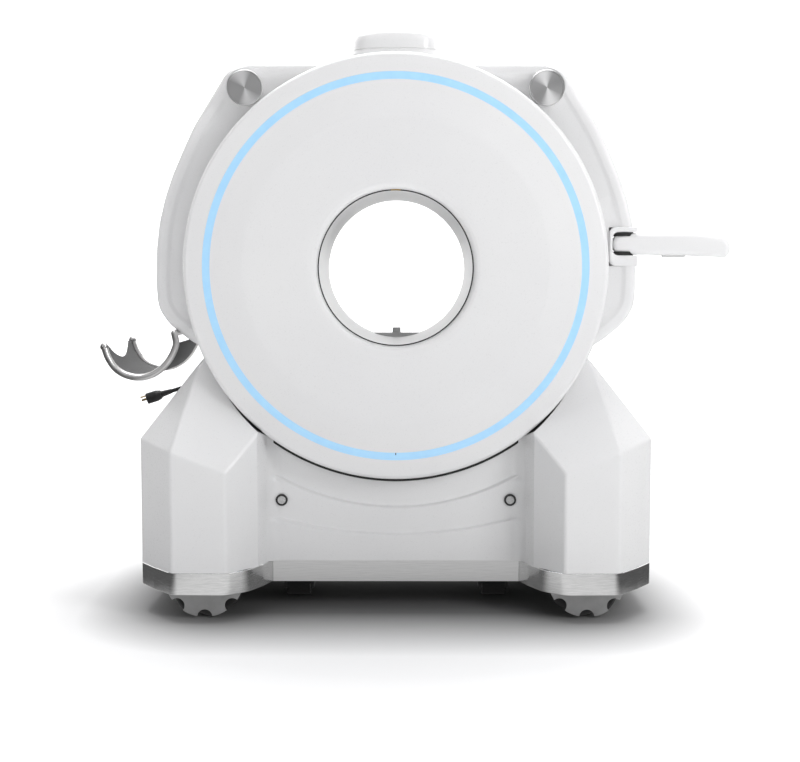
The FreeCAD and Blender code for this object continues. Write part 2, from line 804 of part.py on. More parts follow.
def wheel_rollers(side, end):
    """Rollers at 45 degrees to the wheel's axis, one of them under the wheel."""
    lean = 45 * side * end
    middle = vector(side * S.wheel_across, end * S.wheel_out, S.wheel_radius)
    rollers = []
    for step in range(ROLLERS):
        one = roller()
        one.rotate(vector(0, 0, 0), vector(1, 0, 0), 90)
        one.rotate(vector(0, 0, 0), vector(0, 0, 1), lean)
        one.translate(vector(0, 0, -S.roller_ring))
        one.rotate(vector(0, 0, 0), vector(0, 1, 0), 360 / ROLLERS * step)
        one.translate(middle)
        rollers.append(one)
    return Part.makeCompound(rollers)


motors = []
for name, side, end in wheel_spots():
    rollers = wheel_rollers(side, end)
    keep(f"wheel_hub_{name}", shaped(wheel_hub(side, end).cut(rollers)))
    keep(f"wheel_rollers_{name}", shaped(rollers))
    faces = sorted((end * S.hanger_out, end * (S.hanger_out - 130)), key=float)
    motors.append(rod(55, (side * S.wheel_across, faces[0], S.wheel_radius), 130))
keep("wheel_motors", group(*motors))
batteries = [
    box(sorted((side * sized(470), side * sized(620)), key=float), (-105, 105), (S.deck_high, 350))
    for name, side in SIDES
]
keep("battery_packs", group(*batteries))

# crawlers under the base: they lower onto the floor and move the scanner through its scan


def crawler_loop(radius, start):
    """Side outline of a crawler track at a radius round its two pulleys, as a face in YZ at x = start."""
    ends = float(S.crawler_half) - float(S.crawler_wheel) - float(S.track_thick)
    middle = float(S.crawler_lift) + float(S.crawler_wheel) + float(S.track_thick)
    top = FreeCAD.Vector(0, ends, middle + radius)
    edges = [
        Part.LineSegment(FreeCAD.Vector(0, -ends, middle + radius), top).toShape(),
        Part.Arc(top, vector(0, ends + radius, middle), vector(0, ends, middle - radius)).toShape(),
        Part.LineSegment(vector(0, ends, middle - radius), vector(0, -ends, middle - radius)).toShape(),
        Part.Arc(
            vector(0, -ends, middle - radius),
            vector(0, -ends - radius, middle),
            vector(0, -ends, middle + radius),
        ).toShape(),
    ]
    face = Part.Face(Part.Wire(edges))
    face.translate(vector(start, 0, 0))
    return face


def crawler(side):
    """Carriage, track and drive pulley of one crawler."""
    wide = float(S.crawler_wide)
    low = side * float(S.crawler_across) - wide / 2
    outside = float(S.crawler_wheel) + float(S.track_thick)
    inside = float(S.crawler_wheel) + 0.3
    loop = crawler_loop(outside, low + 10).cut(crawler_loop(inside, low + 10))
    track = loop.extrude(vector(wide - 20, 0, 0))
    ends = float(S.crawler_half) - outside
    middle = float(S.crawler_lift) + outside
    axle = Part.makeCylinder(8, wide - 12, vector(low + 6, -ends, middle), ACROSS)
    drum = Part.makeCylinder(float(S.crawler_wheel), wide - 24, vector(low + 12, -ends, middle), ACROSS)
    pulley = drum.fuse(axle)
    roof = middle + outside + 4
    cheeks = [
        Part.makeBox(9, 2 * ends + 40, roof - middle + 24, vector(x, -ends - 20, middle - 14))
        for x in (low, low + wide - 9)
    ]
    lid = Part.makeBox(wide, 2 * ends + 40, 10, vector(low, -ends - 20, roof))
    bar = Part.makeBox(wide - 18, ends, 2 * inside - 4, vector(low + 9, -ends / 4, middle - inside + 2))
    nose = Part.makeCylinder(inside - 2, wide - 24, vector(low + 12, ends, middle), ACROSS)
    post_long = float(S.floor_high) + 25 - roof - 10
    post_across = low + wide / 2
    posts = [
        Part.makeCylinder(POST_RADIUS, post_long, vector(post_across, y, roof + 10)) for y in POSTS_ALONG
    ]
    carriage = lid.multiFuse(cheeks + [bar, nose] + posts)
    bearing = Part.makeCylinder(8.3, wide, vector(low, -ends, middle), ACROSS)
    return carriage.cut(bearing), track, pulley


for name, side in SIDES:
    carriage, track, drum = crawler(side)
    keep(f"crawler_carriage_{name}", shaped(carriage))
    keep(f"crawler_track_{name}", shaped(track))
    keep(f"crawler_pulley_{name}", shaped(drum))

# upper covers


def shoulder_outline(side):
    """Outline of a shoulder cover on the right; the right one has the steering arm's channel."""
    points = [
        (0.5, S.shoulder_top),
        (S.bar_across - 2, S.shoulder_top),
        (449, S.shoulder_top - 22),
        (498, 1358),
        (538, 1297),
        (568, 1229),
        (595, 1171),
        (617, 1109),
        (635, 1046),
    ]
    if side > 0:
        points += [(636, S.pocket_high), (S.pocket_across + 17, S.pocket_high)]
        points += [(S.pocket_across, S.pocket_high - 17), (S.pocket_across, S.pocket_low + 17)]
        points += [(S.pocket_across + 17, S.pocket_low), (646, S.pocket_low)]
    else:
        points += [(646, 913)]
    points += [(642, 840), (627, 779), (611, 769), (570, 732), (500, 690), (0.5, 690)]
    return points


def shoulder_outer(side):
    half = float(S.shoulder_half)
    face = front_face(shoulder_outline(side))
    face.translate(vector(0, -half, 0))
    solid = face.extrude(vector(0, 2 * half, 0))

    def brow(edge):
        middle = edge.BoundBox.Center
        return abs(abs(middle.y) - half) < 0.1 and middle.x > 520 and middle.z > 1030 or (
            abs(abs(middle.y) - half) < 0.1 and middle.z > 1200 and middle.x > 5
        )

    return round_edges(solid, 12, brow)


def shoulder_cover(side):
    """A shell open towards the gantry frame, with holes for the lifting bars."""
    wall = float(S.shoulder_wall)
    outer = shoulder_outer(side)
    inner = front_face(shoulder_outline(side)).makeOffset2D(-wall, 2)
    inner.translate(vector(0, -float(S.shoulder_half) + wall, 0))
    inner = inner.extrude(vector(0, 2 * (float(S.shoulder_half) - wall), 0))
    solid = outer.cut(inner)
    solid = solid.cut(cylinder_y(shell_outside + 0.3, 0, S.bore_height, 400))
    solid = solid.cut(cylinder_y(S.bar_radius + 0.3, S.bar_across, S.bar_height, 400))
    half = float(S.shoulder_half) - wall
    gap = Part.makeBox(20, 2 * half, 150, vector(-5, -half, S.shoulder_top - wall - 150))
    return mirror_x(largest_solid(solid.cut(gap)), side)


def largest_solid(shape):
    return max(shape.Solids, key=lambda solid: solid.Volume)


for name, side in SIDES:
    keep(f"shoulder_cover_{name}", shaped(shoulder_cover(side)))


def top_pod():
    """A rounded housing that straddles the ring covers' rims and sits on the shoulder covers."""
    low = float(S.shoulder_top)
    high = float(S.pod_top)
    half = float(S.pod_half)
    out = float(S.pod_out)
    solid = Part.makeBox(2 * half, 2 * out, high - low, vector(-half, -out, low))
    upright = [edge for edge in solid.Edges if abs(edge.tangentAt(0).z) > 0.9]
    solid = solid.makeFillet(26, upright)
    crown = [edge for edge in solid.Edges if edge.BoundBox.ZMin > high - 0.1]
    solid = solid.makeFillet(20, crown)
    hollow = Part.makeBox(2 * half - 60, 2 * out - 60, high - low - 12, vector(30 - half, 30 - out, low - 1))
    solid = solid.cut(hollow)
    groove_depth = 1.5
    groove = Part.makeBox(4 * half, 4 * out, 2, vector(-2 * half, -2 * out, high - 26))
    core = Part.makeBox(
        2 * (half - groove_depth), 2 * (out - groove_depth), 2, vector(groove_depth - half, groove_depth - out, high - 26)
    )
    core = core.makeFillet(26 - groove_depth, [edge for edge in core.Edges if abs(edge.tangentAt(0).z) > 0.9])
    solid = solid.cut(groove.cut(core))
    return solid.cut(cylinder_y(S.ring_radius + 1, 0, S.bore_height, 500))


keep("top_pod", shaped(top_pod()))

bars = [
    rod(S.bar_radius, (side * S.bar_across, -S.bar_out, S.bar_height), 2 * S.bar_out)
    for name, side in SIDES
]
keep("lifting_bars", group(*bars))
caps = []
for name, side in SIDES:
    for end in (-1, 1):
        faces = sorted((end * S.bar_out, end * (S.bar_out + S.cap_thick)), key=float)
        caps.append(rod(S.cap_radius, (side * S.bar_across, faces[0], S.bar_height), S.cap_thick))
keep("bar_end_caps", group(*caps))

# steering arm: it swings to the rear about an upright pin


def arm_parts():
    """The arm with its slot, and the trigger that slides in it."""
    x0 = float(S.arm_across)
    z0 = float(S.arm_height)
    knuckle = float(S.arm_knuckle)
    reach = x0 + float(S.arm_reach)
    edges = [
        Part.Arc(vector(x0, 0, z0 - knuckle), vector(x0 - knuckle, 0, z0), vector(x0, 0, z0 + knuckle)).toShape(),
        Part.LineSegment(vector(x0, 0, z0 + knuckle), vector(x0 + 150, 0, z0 + knuckle)).toShape(),
        Part.Arc(
            vector(x0 + 150, 0, z0 + knuckle),
            vector(x0 + 225, 0, z0 + knuckle - 4),
            vector(reach - 19, 0, z0 + knuckle - 12),
        ).toShape(),
        Part.Arc(
            vector(reach - 19, 0, z0 + knuckle - 12), vector(reach, 0, z0 - 7), vector(reach - 12, 0, z0 - 36)
        ).toShape(),
        Part.Arc(
            vector(reach - 12, 0, z0 - 36), vector(reach - 75, 0, z0 - 33), vector(x0 + 60, 0, z0 - knuckle)
        ).toShape(),
        Part.LineSegment(vector(x0 + 60, 0, z0 - knuckle), vector(x0, 0, z0 - knuckle)).toShape(),
    ]
    face = Part.Face(Part.Wire(edges))
    depth = float(S.arm_depth)
    face.translate(vector(0, S.arm_along - depth / 2, 0))
    solid = face.extrude(vector(0, depth, 0))
    solid = round_edges(
        solid,
        15,
        lambda edge: abs(abs(edge.BoundBox.Center.y - float(S.arm_along)) - depth / 2) < 0.1,
    )
    pin_hole = Part.makeCylinder(
        float(S.arm_pin_radius) + 0.3, 4 * knuckle, vector(x0, S.arm_along, z0 - 2 * knuckle)
    )
    long = float(S.trigger_long)
    wide = float(S.trigger_wide)
    gap = float(S.trigger_gap)
    start = x0 + 106
    slot = Part.makeBox(
        long + 2 * gap,
        wide + 2 * gap,
        36,
        vector(start - gap, S.arm_along - wide / 2 - gap, z0 - knuckle - 20),
    )
    low = z0 - knuckle - float(S.trigger_proud)
    trigger = Part.makeBox(long, wide, 16, vector(start, S.arm_along - wide / 2, low))
    trigger = trigger.makeFillet(
        4, [edge for edge in trigger.Edges if edge.BoundBox.ZMax < low + 0.1 and edge.BoundBox.XLength < 1]
    )
    return solid.cut(pin_hole).cut(slot), trigger


arm, trigger = arm_parts()
keep("steering_arm", shaped(arm))
keep("arm_trigger", shaped(trigger))
pin_gap = 0.3
pin_at = (S.arm_across, S.arm_along)
arm_pin = fuse(
    rod(S.arm_pin_radius, (*pin_at, S.pocket_low), S.pocket_high - S.pocket_low, UPRIGHT),
    rod(14, (*pin_at, S.pocket_low), S.arm_height - S.arm_knuckle - pin_gap - S.pocket_low, UPRIGHT),
    rod(
        14,
        (*pin_at, S.arm_height + S.arm_knuckle + pin_gap),
        S.pocket_high - S.arm_height - S.arm_knuckle - pin_gap,
        UPRIGHT,
    ),
)
keep("arm_pin", arm_pin)

# side cradle: two bent rails with ball ends and a lining between them

CRADLE_ROUTE = [
    (-784, 708),
    (-775, 678),
    (-757, 650),
    (-733, 633),
    (-705, 625),
    (-680, 625),
    (-655, 632),
    (-632, 647),
    (-612, 668),
    (-598, 692),
    (-589, 717),
    (-595, 744),
]


def cradle_rails():
    """Both rails with their ball ends, and the bar under the shoulder cover that joins them."""
    front = float(S.cradle_front)
    end_x, end_z = CRADLE_ROUTE[-1]
    radius = float(S.rail_radius)
    bar = Part.makeCylinder(radius, float(S.cradle_back) - front, vector(end_x, front, end_z), ALONG)
    rails = [bar]
    for along in (S.cradle_front, S.cradle_back):
        bend, length, radii = tube_along([(x, along, z) for x, z in CRADLE_ROUTE], S.rail_radius, 0.42)
        ball = Part.makeSphere(radius + 2, vector(CRADLE_ROUTE[0][0], along, CRADLE_ROUTE[0][1]))
        knee = Part.makeSphere(radius, vector(end_x, along, end_z))
        rails += [bend, ball, knee]
    shoulder = mirror_x(shoulder_outer(-1), -1)
    return largest_solid(rails[0].multiFuse(rails[1:]).cut(shoulder))


def cradle_lining(rails):
    """A bent sheet along the rails, scooped at its free end."""
    front = float(S.cradle_front) + float(S.rail_radius)
    back = float(S.cradle_back) - float(S.rail_radius)
    path, radii = rounded_path([(x, front, z) for x, z in CRADLE_ROUTE[:-1]], 0.42)
    skin = path.extrude(vector(0, back - front, 0))
    sheet_solid = skin.makeOffsetShape(float(S.lining_thick), 0.01, fill=True)
    middle = (front + back) / 2
    scoop = Part.makeCylinder(260, 90, vector(-810, middle, 930), ACROSS)
    return sheet_solid.cut([scoop, rails])


rails = cradle_rails()
keep("cradle_rails", shaped(rails))
keep("cradle_lining", shaped(cradle_lining(rails)))

# docking plate at the rear end of the bore

DOCK_CHORD = 66


def docking_plate():
    """A flat shelf in the bottom of the bore, with two bolt holes and a latch."""
    top = float(dock_top)
    back = float(S.bore_back)
    shelf = Part.makeBox(2 * DOCK_CHORD, 50, 30, vector(-DOCK_CHORD, back - 50, top - 30))
    inside = Part.makeCylinder(float(S.bore_radius) - 0.2, 60, vector(0, back - 55, S.bore_height), ALONG)
    shelf = shelf.common(inside)
    latch = Part.makeBox(24, 16, 16, vector(-12, back - 34, top))
    latch = latch.makeFillet(4, [edge for edge in latch.Edges if edge.BoundBox.ZMin > top + 15])
    doc.recompute()
    return shelf.cut([bolt.Shape for bolt in dock_bolts]).fuse(latch)


keep("docking_plate", shaped(docking_plate()))

# power cord: out of the rear panel, into a coil on the floor, and up over a hook to its plug

COIL_MIDDLE = (-230, 292)
COIL_RADII = (48, 60, 72, 84)
PANEL_BACK = float(S.recess_out + 2 * S.panel_wall)
GLAND_AT = (110, PANEL_BACK, 232)
GLAND_LONG = 26
ROUTE_OUT = [
    (110, PANEL_BACK + GLAND_LONG, 232),
    (111, PANEL_BACK + GLAND_LONG + 38, 230),
    (109, 294, 212),
    (106, 314, 176),
    (104, 323, 130),
    (98, 329, 84),
    (84, 337, 42),
    (50, 346, 14),
    (0, 354, 6.4),
    (-70, 366, 6),
    (-152, 374.5, 6.2),
    (-230, 376, 6),
]
ROUTE_PLUG = [
    (-230, 376, 18),
    (-290, 377, 12),
    (-355, 388, 6.2),
    (-416, 399, 6),
    (-464, 402, 16),
    (-495, 401, 50),
    (-503, 400, 110),
    (-499, 399, 220),
    (-503, 400, 330),
    (-497, 400, 430),
    (-495, 400, 508),
    (-528, 400, 556),
    (-581, 400, 573),
    (-645, 400, 556),
    (-705, 400, 537),
]
PLUG_LONG = 52
PRONG_LONG = 17


def cord_tubes():
    tubes = []
    for route in (ROUTE_OUT, ROUTE_PLUG):
        tube, length, radii = tube_along(route, S.cord_diameter / 2)
        print("cord stretch", round(length), "mm, radii", [round(radius) for radius in radii])
        tubes.append(tube)
    return Part.makeCompound(tubes)


def cord_coil():
    reach = float(S.cord_diameter) / 2
    spot = vector(*COIL_MIDDLE, 0)
    height = 2 * float(S.cord_diameter)
    ring = Part.makeCylinder(COIL_RADII[-1] + reach, height, spot)
    turns = 2 * sum(2 * math.pi * radius for radius in COIL_RADII)
    print("coiled length", round(turns), "mm")
    return ring.cut(Part.makeCylinder(COIL_RADII[0] - reach, height, spot))


def plug_parts():
    """Plug with its moulded strain relief, and its two blades with the round earth pin."""
    end = vector(*ROUTE_PLUG[-1])
    toward = (end - vector(*ROUTE_PLUG[-2])).normalize()
    relief = Part.makeCone(7, 10, 34, end, toward)
    shoulder = end + toward * 34
    grip = Part.makeCone(13, 17, 14, shoulder, toward)
    head = Part.makeCylinder(17, PLUG_LONG - 20, shoulder + toward * 14, toward)
    plug = relief.multiFuse([grip, head])
    face = shoulder + toward * (14 + PLUG_LONG - 20)
    prongs = []
    turn = FreeCAD.Rotation(ACROSS, toward)
    for along in (-6.5, 6.5):
        blade = Part.makeBox(PRONG_LONG, 1.6, 6.4, vector(0, along - 0.8, -3.2))
        blade.Placement = FreeCAD.Placement(face, turn).multiply(blade.Placement)
        prongs.append(blade)
    pin = Part.makeCylinder(2.4, PRONG_LONG + 2, vector(0, 0, -10), ACROSS)
    pin.Placement = FreeCAD.Placement(face, turn).multiply(pin.Placement)
    prongs.append(pin)
    return plug, Part.makeCompound(prongs)


def cord_hook():
    """A flat bar on the rear of the left base pod that carries a peg with a stop disc."""
    face = float(S.corner_out) - 1.2
    base = Part.makeBox(30, 5, 176, vector(-571, face, 386))
    peg = Part.makeCylinder(8, 72, vector(-556, face + 5, 545), ALONG)
    stop = Part.makeCylinder(15, 4, vector(-556, face + 77, 545), ALONG)
    return base.multiFuse([peg, stop])


gland = fuse(
    rod(11, GLAND_AT, GLAND_LONG),
    rod(18, GLAND_AT, 10),
)
keep("cord_gland", gland)
keep("cord_tube", shaped(cord_tubes()))
keep("cord_coil", shaped(cord_coil()))
plug, prongs = plug_parts()
keep("plug_body", shaped(plug))
keep("plug_prongs", shaped(prongs))
keep("cord_hook", shaped(cord_hook()))


def save_parts():
    doc.recompute()
    bad = [o.Label for o in doc.Objects if {"Invalid", "Error"} & set(o.State)]
    if bad:
        raise ValueError(f"objects that failed: {bad}")
    for thing in PARTS:
        if thing.Shape.isNull() or not thing.Shape.isValid():
            raise ValueError(f"{thing.Label} has no valid shape")
    os.makedirs("parts", exist_ok=True)
    for thing in PARTS:
        thing.Shape.exportStep(f"parts/{thing.Label}.step")
    print(len(PARTS), "parts written")


save_parts()
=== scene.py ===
import json
import math

import bmesh
import bpy
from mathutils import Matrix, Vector


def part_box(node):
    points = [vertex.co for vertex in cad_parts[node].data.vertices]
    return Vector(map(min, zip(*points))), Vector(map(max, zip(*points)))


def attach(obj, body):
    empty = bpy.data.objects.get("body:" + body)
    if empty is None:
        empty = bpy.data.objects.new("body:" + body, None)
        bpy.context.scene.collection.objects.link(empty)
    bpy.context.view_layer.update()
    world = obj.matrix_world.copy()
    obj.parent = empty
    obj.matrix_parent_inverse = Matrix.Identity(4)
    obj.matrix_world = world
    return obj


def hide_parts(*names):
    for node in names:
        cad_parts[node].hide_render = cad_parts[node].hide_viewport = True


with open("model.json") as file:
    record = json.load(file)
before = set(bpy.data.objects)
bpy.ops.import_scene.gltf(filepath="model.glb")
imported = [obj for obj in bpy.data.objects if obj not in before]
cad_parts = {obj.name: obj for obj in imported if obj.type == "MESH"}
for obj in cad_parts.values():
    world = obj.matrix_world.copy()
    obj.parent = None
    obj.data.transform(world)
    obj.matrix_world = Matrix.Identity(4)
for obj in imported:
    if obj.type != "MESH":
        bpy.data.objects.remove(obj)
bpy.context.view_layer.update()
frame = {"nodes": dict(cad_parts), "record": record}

NODES = frame["nodes"]

# main places, in metres, from the frame

FRONT_LOW, FRONT_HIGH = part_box("front_cover")
BORE_Z = (FRONT_LOW[2] + FRONT_HIGH[2]) / 2


# node helpers


class Paint:
    """A material under construction: its nodes, links and Principled shader."""

    def __init__(self, name, color, roughness=0.5, metallic=0.0, **sockets):
        self.material = bpy.data.materials.new(name)
        self.material.use_nodes = True
        self.tree = self.material.node_tree
        self.shader = self.tree.nodes["Principled BSDF"]
        self.set(self.shader, "Base Color", (*color, 1.0))
        self.set(self.shader, "Roughness", roughness)
        self.set(self.shader, "Metallic", metallic)
        for socket, value in sockets.items():
            self.set(self.shader, socket.replace("_", " "), value)

    def set(self, node, socket, value):
        node.inputs[socket].default_value = value

    def add(self, kind, **values):
        node = self.tree.nodes.new(kind)
        for key, value in values.items():
            if key in node.inputs:
                node.inputs[key].default_value = value
            else:
                setattr(node, key, value)
        return node

    def link(self, source, target, socket, output=0):
        self.tree.links.new(source.outputs[output], target.inputs[socket])

    def where(self, scale=(1.0, 1.0, 1.0)):
        """Object coordinates, which are row-frame metres, scaled per axis."""
        coordinates = self.add("ShaderNodeTexCoord")
        mapping = self.add("ShaderNodeMapping")
        self.set(mapping, "Scale", scale)
        self.link(coordinates, mapping, "Vector", 3)
        return mapping

    def noise(self, scale, detail=4.0, roughness=0.5, stretch=(1.0, 1.0, 1.0)):
        place = self.where(stretch)
        noise = self.add("ShaderNodeTexNoise", Scale=scale, Detail=detail, Roughness=roughness)
        self.link(place, noise, "Vector")
        return noise

    def ramp(self, source, low, high, start=0.3, end=0.7):
        """A noise's factor mapped to a colour range."""
        ramp = self.add("ShaderNodeValToRGB")
        ramp.color_ramp.elements[0].position = start
        ramp.color_ramp.elements[1].position = end
        ramp.color_ramp.elements[0].color = (*low, 1.0)
        ramp.color_ramp.elements[1].color = (*high, 1.0)
        self.link(source, ramp, "Fac")
        return ramp

    def span(self, source, start, end, low, high, output=0):
        """A value mapped in a straight line from start..end to low..high."""
        spread = self.add("ShaderNodeMapRange")
        for socket, value in zip(("From Min", "From Max", "To Min", "To Max"), (start, end, low, high)):
            self.set(spread, socket, value)
        self.link(source, spread, "Value", output)
        return spread

    def math(self, operation, source, value=None, output=0):
        """One Math node on a source, with a constant or a second node as its other side."""
        node = self.add("ShaderNodeMath", operation=operation)
        self.link(source, node, 0, output)
        if isinstance(value, (int, float)):
            self.set(node, 1, value)
        elif value is not None:
            self.link(value, node, 1)
        return node

    def tint(self, source, low, high, start=0.3, end=0.7):
        self.link(self.ramp(source, low, high, start, end), self.shader, "Base Color")
        return self

    def vary_roughness(self, source, low, high):
        self.link(self.span(source, 0.3, 0.7, low, high), self.shader, "Roughness")
        return self

    def bump(self, source, strength, distance):
        bump = self.add("ShaderNodeBump", Strength=strength, Distance=distance)
        self.link(source, bump, "Height")
        self.link(bump, self.shader, "Normal")
        return self


def grey(level, warm=0.0):
    return (level * (1 + warm), level, level * (1 - warm))


def cover_white():
    paint = Paint("cover_white", grey(0.80), 0.3, Coat_Weight=0.35, Coat_Roughness=0.08)
    paint.set(paint.shader, "IOR", 1.48)
    broad = paint.noise(2.2, 3.0)
    paint.tint(broad, (0.785, 0.785, 0.79), (0.815, 0.815, 0.815))
    fine = paint.noise(260.0, 3.0, 0.6)
    paint.vary_roughness(fine, 0.26, 0.34)
    paint.bump(fine, 0.05, 0.0004)
    return paint.material


def bore_liner():
    paint = Paint("bore_liner", grey(0.62), 0.38)
    speck = paint.noise(500.0, 2.0)
    paint.tint(speck, grey(0.60), grey(0.65))
    paint.bump(speck, 0.08, 0.0003)
    return paint.material


def light_strip():
    paint = Paint("light_strip", (0.45, 0.78, 0.98), 0.35)
    paint.set(paint.shader, "Emission Color", (0.43, 0.63, 0.82, 1.0))
    paint.set(paint.shader, "Emission Strength", 0.48)
    glow = paint.noise(40.0, 2.0)
    paint.tint(glow, (0.20, 0.42, 0.62), (0.24, 0.46, 0.66))
    return paint.material


def brushed(name, level, roughness, stretch, scale=60.0, anisotropic=0.4):
    """Metal brushed along one axis: the noise is long where its stretch is small."""
    paint = Paint(name, grey(level), roughness, 1.0, Anisotropic=anisotropic)
    grain = paint.noise(scale, 6.0, 0.65, stretch)
    paint.tint(grain, grey(level * 0.88), grey(min(1.0, level * 1.1)))
    paint.vary_roughness(grain, roughness * 0.8, roughness * 1.3)
    paint.bump(grain, 0.12, 0.0004)
    return paint.material


def spun_metal():
    """Turned aluminium: an anisotropic sheen along radial tangents, plus a painted sheen, a fan-shaped
    painted highlight in the base colour that fans out from the middle of each round face.
    """
    paint = Paint("spun_metal", grey(0.8), 0.36, 0.85, Anisotropic=0.7)
    tangent = paint.add("ShaderNodeTangent", direction_type="RADIAL", axis="Y")
    paint.link(tangent, paint.shader, "Tangent")
    place = paint.add("ShaderNodeTexCoord")
    split = paint.add("ShaderNodeSeparateXYZ")
    paint.link(place, split, 0)
    across = paint.math("SUBTRACT", split, 0.5)
    up = paint.math("SUBTRACT", split, 0.5, output=2)
    # painted sheen: base colour lighter and darker in two lobes round the middle of each round face
    angle = paint.math("ARCTAN2", up, across)
    painted_sheen_lobes = paint.math("MULTIPLY_ADD", angle, 2.0)
    paint.set(painted_sheen_lobes, 2, 2.4)
    painted_fan_sheen = paint.math("COSINE", painted_sheen_lobes)
    paint.tint(painted_fan_sheen, grey(0.55), grey(0.98), 0.0, 1.0)
    paint.bump(paint.noise(900.0, 3.0, 0.6), 0.04, 0.0002)
    return paint.material


def plain_metal(name, color, roughness, metallic=1.0):
    paint = Paint(name, color, roughness, metallic)
    cloud = paint.noise(35.0, 5.0)
    low = tuple(channel * 0.88 for channel in color)
    high = tuple(min(1.0, channel * 1.1) for channel in color)
    paint.tint(cloud, low, high)
    paint.vary_roughness(cloud, roughness * 0.8, roughness * 1.25)
    paint.bump(paint.noise(420.0, 3.0), 0.06, 0.0003)
    return paint.material


def moulded(name, level, roughness, grain=700.0, strength=0.25, warm=0.0):
    """Dark or grey moulded plastic or rubber with a fine spark-eroded grain."""
    paint = Paint(name, grey(level, warm), roughness)
    texture = paint.noise(grain, 4.0, 0.6)
    paint.tint(texture, grey(level * 0.8, warm), grey(level * 1.25, warm))
    paint.vary_roughness(texture, roughness * 0.85, min(1.0, roughness * 1.15))
    paint.bump(texture, strength, 0.0004)
    return paint.material


def make_materials():
    return {
        "cover_white": cover_white(),
        "bore_liner": bore_liner(),
        "light_strip": light_strip(),
        "bumper_steel": brushed("bumper_steel", 0.80, 0.16, (1.0, 1.0, 14.0), 30.0),
        "beam_metal": brushed("beam_metal", 0.74, 0.34, (0.6, 14.0, 30.0), 30.0),
        "spun_metal": spun_metal(),
        "bar_white": plain_metal("bar_white", grey(0.78), 0.35, 0.0),
        "frame_paint": moulded("frame_paint", 0.22, 0.45, 300.0, 0.15),
        "rotor_metal": plain_metal("rotor_metal", grey(0.55), 0.38),
        "bearing_steel": plain_metal("bearing_steel", grey(0.5), 0.25),
        "brass_ring": plain_metal("brass_ring", (0.72, 0.50, 0.22), 0.28),
        "dark_unit": moulded("dark_unit", 0.03, 0.5),
        "tube_housing": plain_metal("tube_housing", grey(0.35), 0.45, 0.3),
        "belt_rubber": moulded("belt_rubber", 0.018, 0.75, 400.0, 0.4),
        "carriage_dark": moulded("carriage_dark", 0.03, 0.5, 250.0, 0.15),
        "wheel_grey": plain_metal("wheel_grey", grey(0.42), 0.40, 0.6),
        "roller_black": moulded("roller_black", 0.012, 0.55, 300.0, 0.3),
        "rail_metal": plain_metal("rail_metal", grey(0.80, 0.01), 0.30),
        "lining_grey": moulded("lining_grey", 0.05, 0.6, 260.0, 0.5),
        "sensor_ring": moulded("sensor_ring", 0.02, 0.35),
        "trigger_grey": moulded("trigger_grey", 0.62, 0.45),
        "cord_black": moulded("cord_black", 0.008, 0.5, 600.0, 0.2),
        "lens_grey": moulded("lens_grey", 0.52, 0.25, 300.0, 0.05),
        "amber_glass": plain_metal("amber_glass", (0.50, 0.30, 0.02), 0.2, 0.0),
        "prong_brass": plain_metal("prong_brass", (0.75, 0.58, 0.32), 0.25),
    }


MATERIALS = make_materials()
SLOT_OF = {part["node"]: part["material_slot"] for part in frame["record"]["subparts"]}


def paint_nodes():
    for name, node in NODES.items():
        node.data.materials.clear()
        node.data.materials.append(MATERIALS[SLOT_OF[name]])
        node.data.shade_smooth()
        node.data.set_sharp_from_angle(angle=math.radians(32))
        weighted = node.modifiers.new("weighted", "WEIGHTED_NORMAL")
        weighted.keep_sharp = True


paint_nodes()

# camera and lights

FOCAL_PIXELS = 1308
FRAME_WIDE = 800
SENSOR = 36.0
EYE = (0.019, -3.675, 0.905)
PITCH = math.radians(4.72)
YAW = math.radians(0.13)


def make_camera():
    data = bpy.data.cameras.new("camera")
    data.sensor_width = SENSOR
    data.lens = FOCAL_PIXELS * SENSOR / FRAME_WIDE
    camera = bpy.data.objects.new("camera", data)
    camera.location = EYE
    camera.rotation_euler = (math.pi / 2 - PITCH, 0, YAW)
    bpy.context.scene.collection.objects.link(camera)
    bpy.context.scene.camera = camera


make_camera()


def area_light(name, place, aim, wide, tall, power, color=(1.0, 1.0, 1.0)):
    data = bpy.data.lights.new(name, "AREA")
    data.shape = "RECTANGLE"
    data.size = wide
    data.size_y = tall
    data.energy = power
    data.color = color
    light = bpy.data.objects.new(name, data)
    light.location = place
    direction = Vector(aim) - Vector(place)
    light.rotation_mode = "QUATERNION"
    light.rotation_quaternion = direction.to_track_quat("-Z", "Y")
    bpy.context.scene.collection.objects.link(light)


def make_lights():
    area_light("key", (3.2, -3.0, 2.4), (0.1, 0, 0.9), 1.2, 2.0, 56)
    area_light("fill", (-3.2, -3.6, 2.2), (0, 0, 0.8), 1.2, 2.0, 8)
    area_light("top", (0, 0.4, 3.6), (0, 0.1, 0.8), 3.4, 2.4, 105)


make_lights()


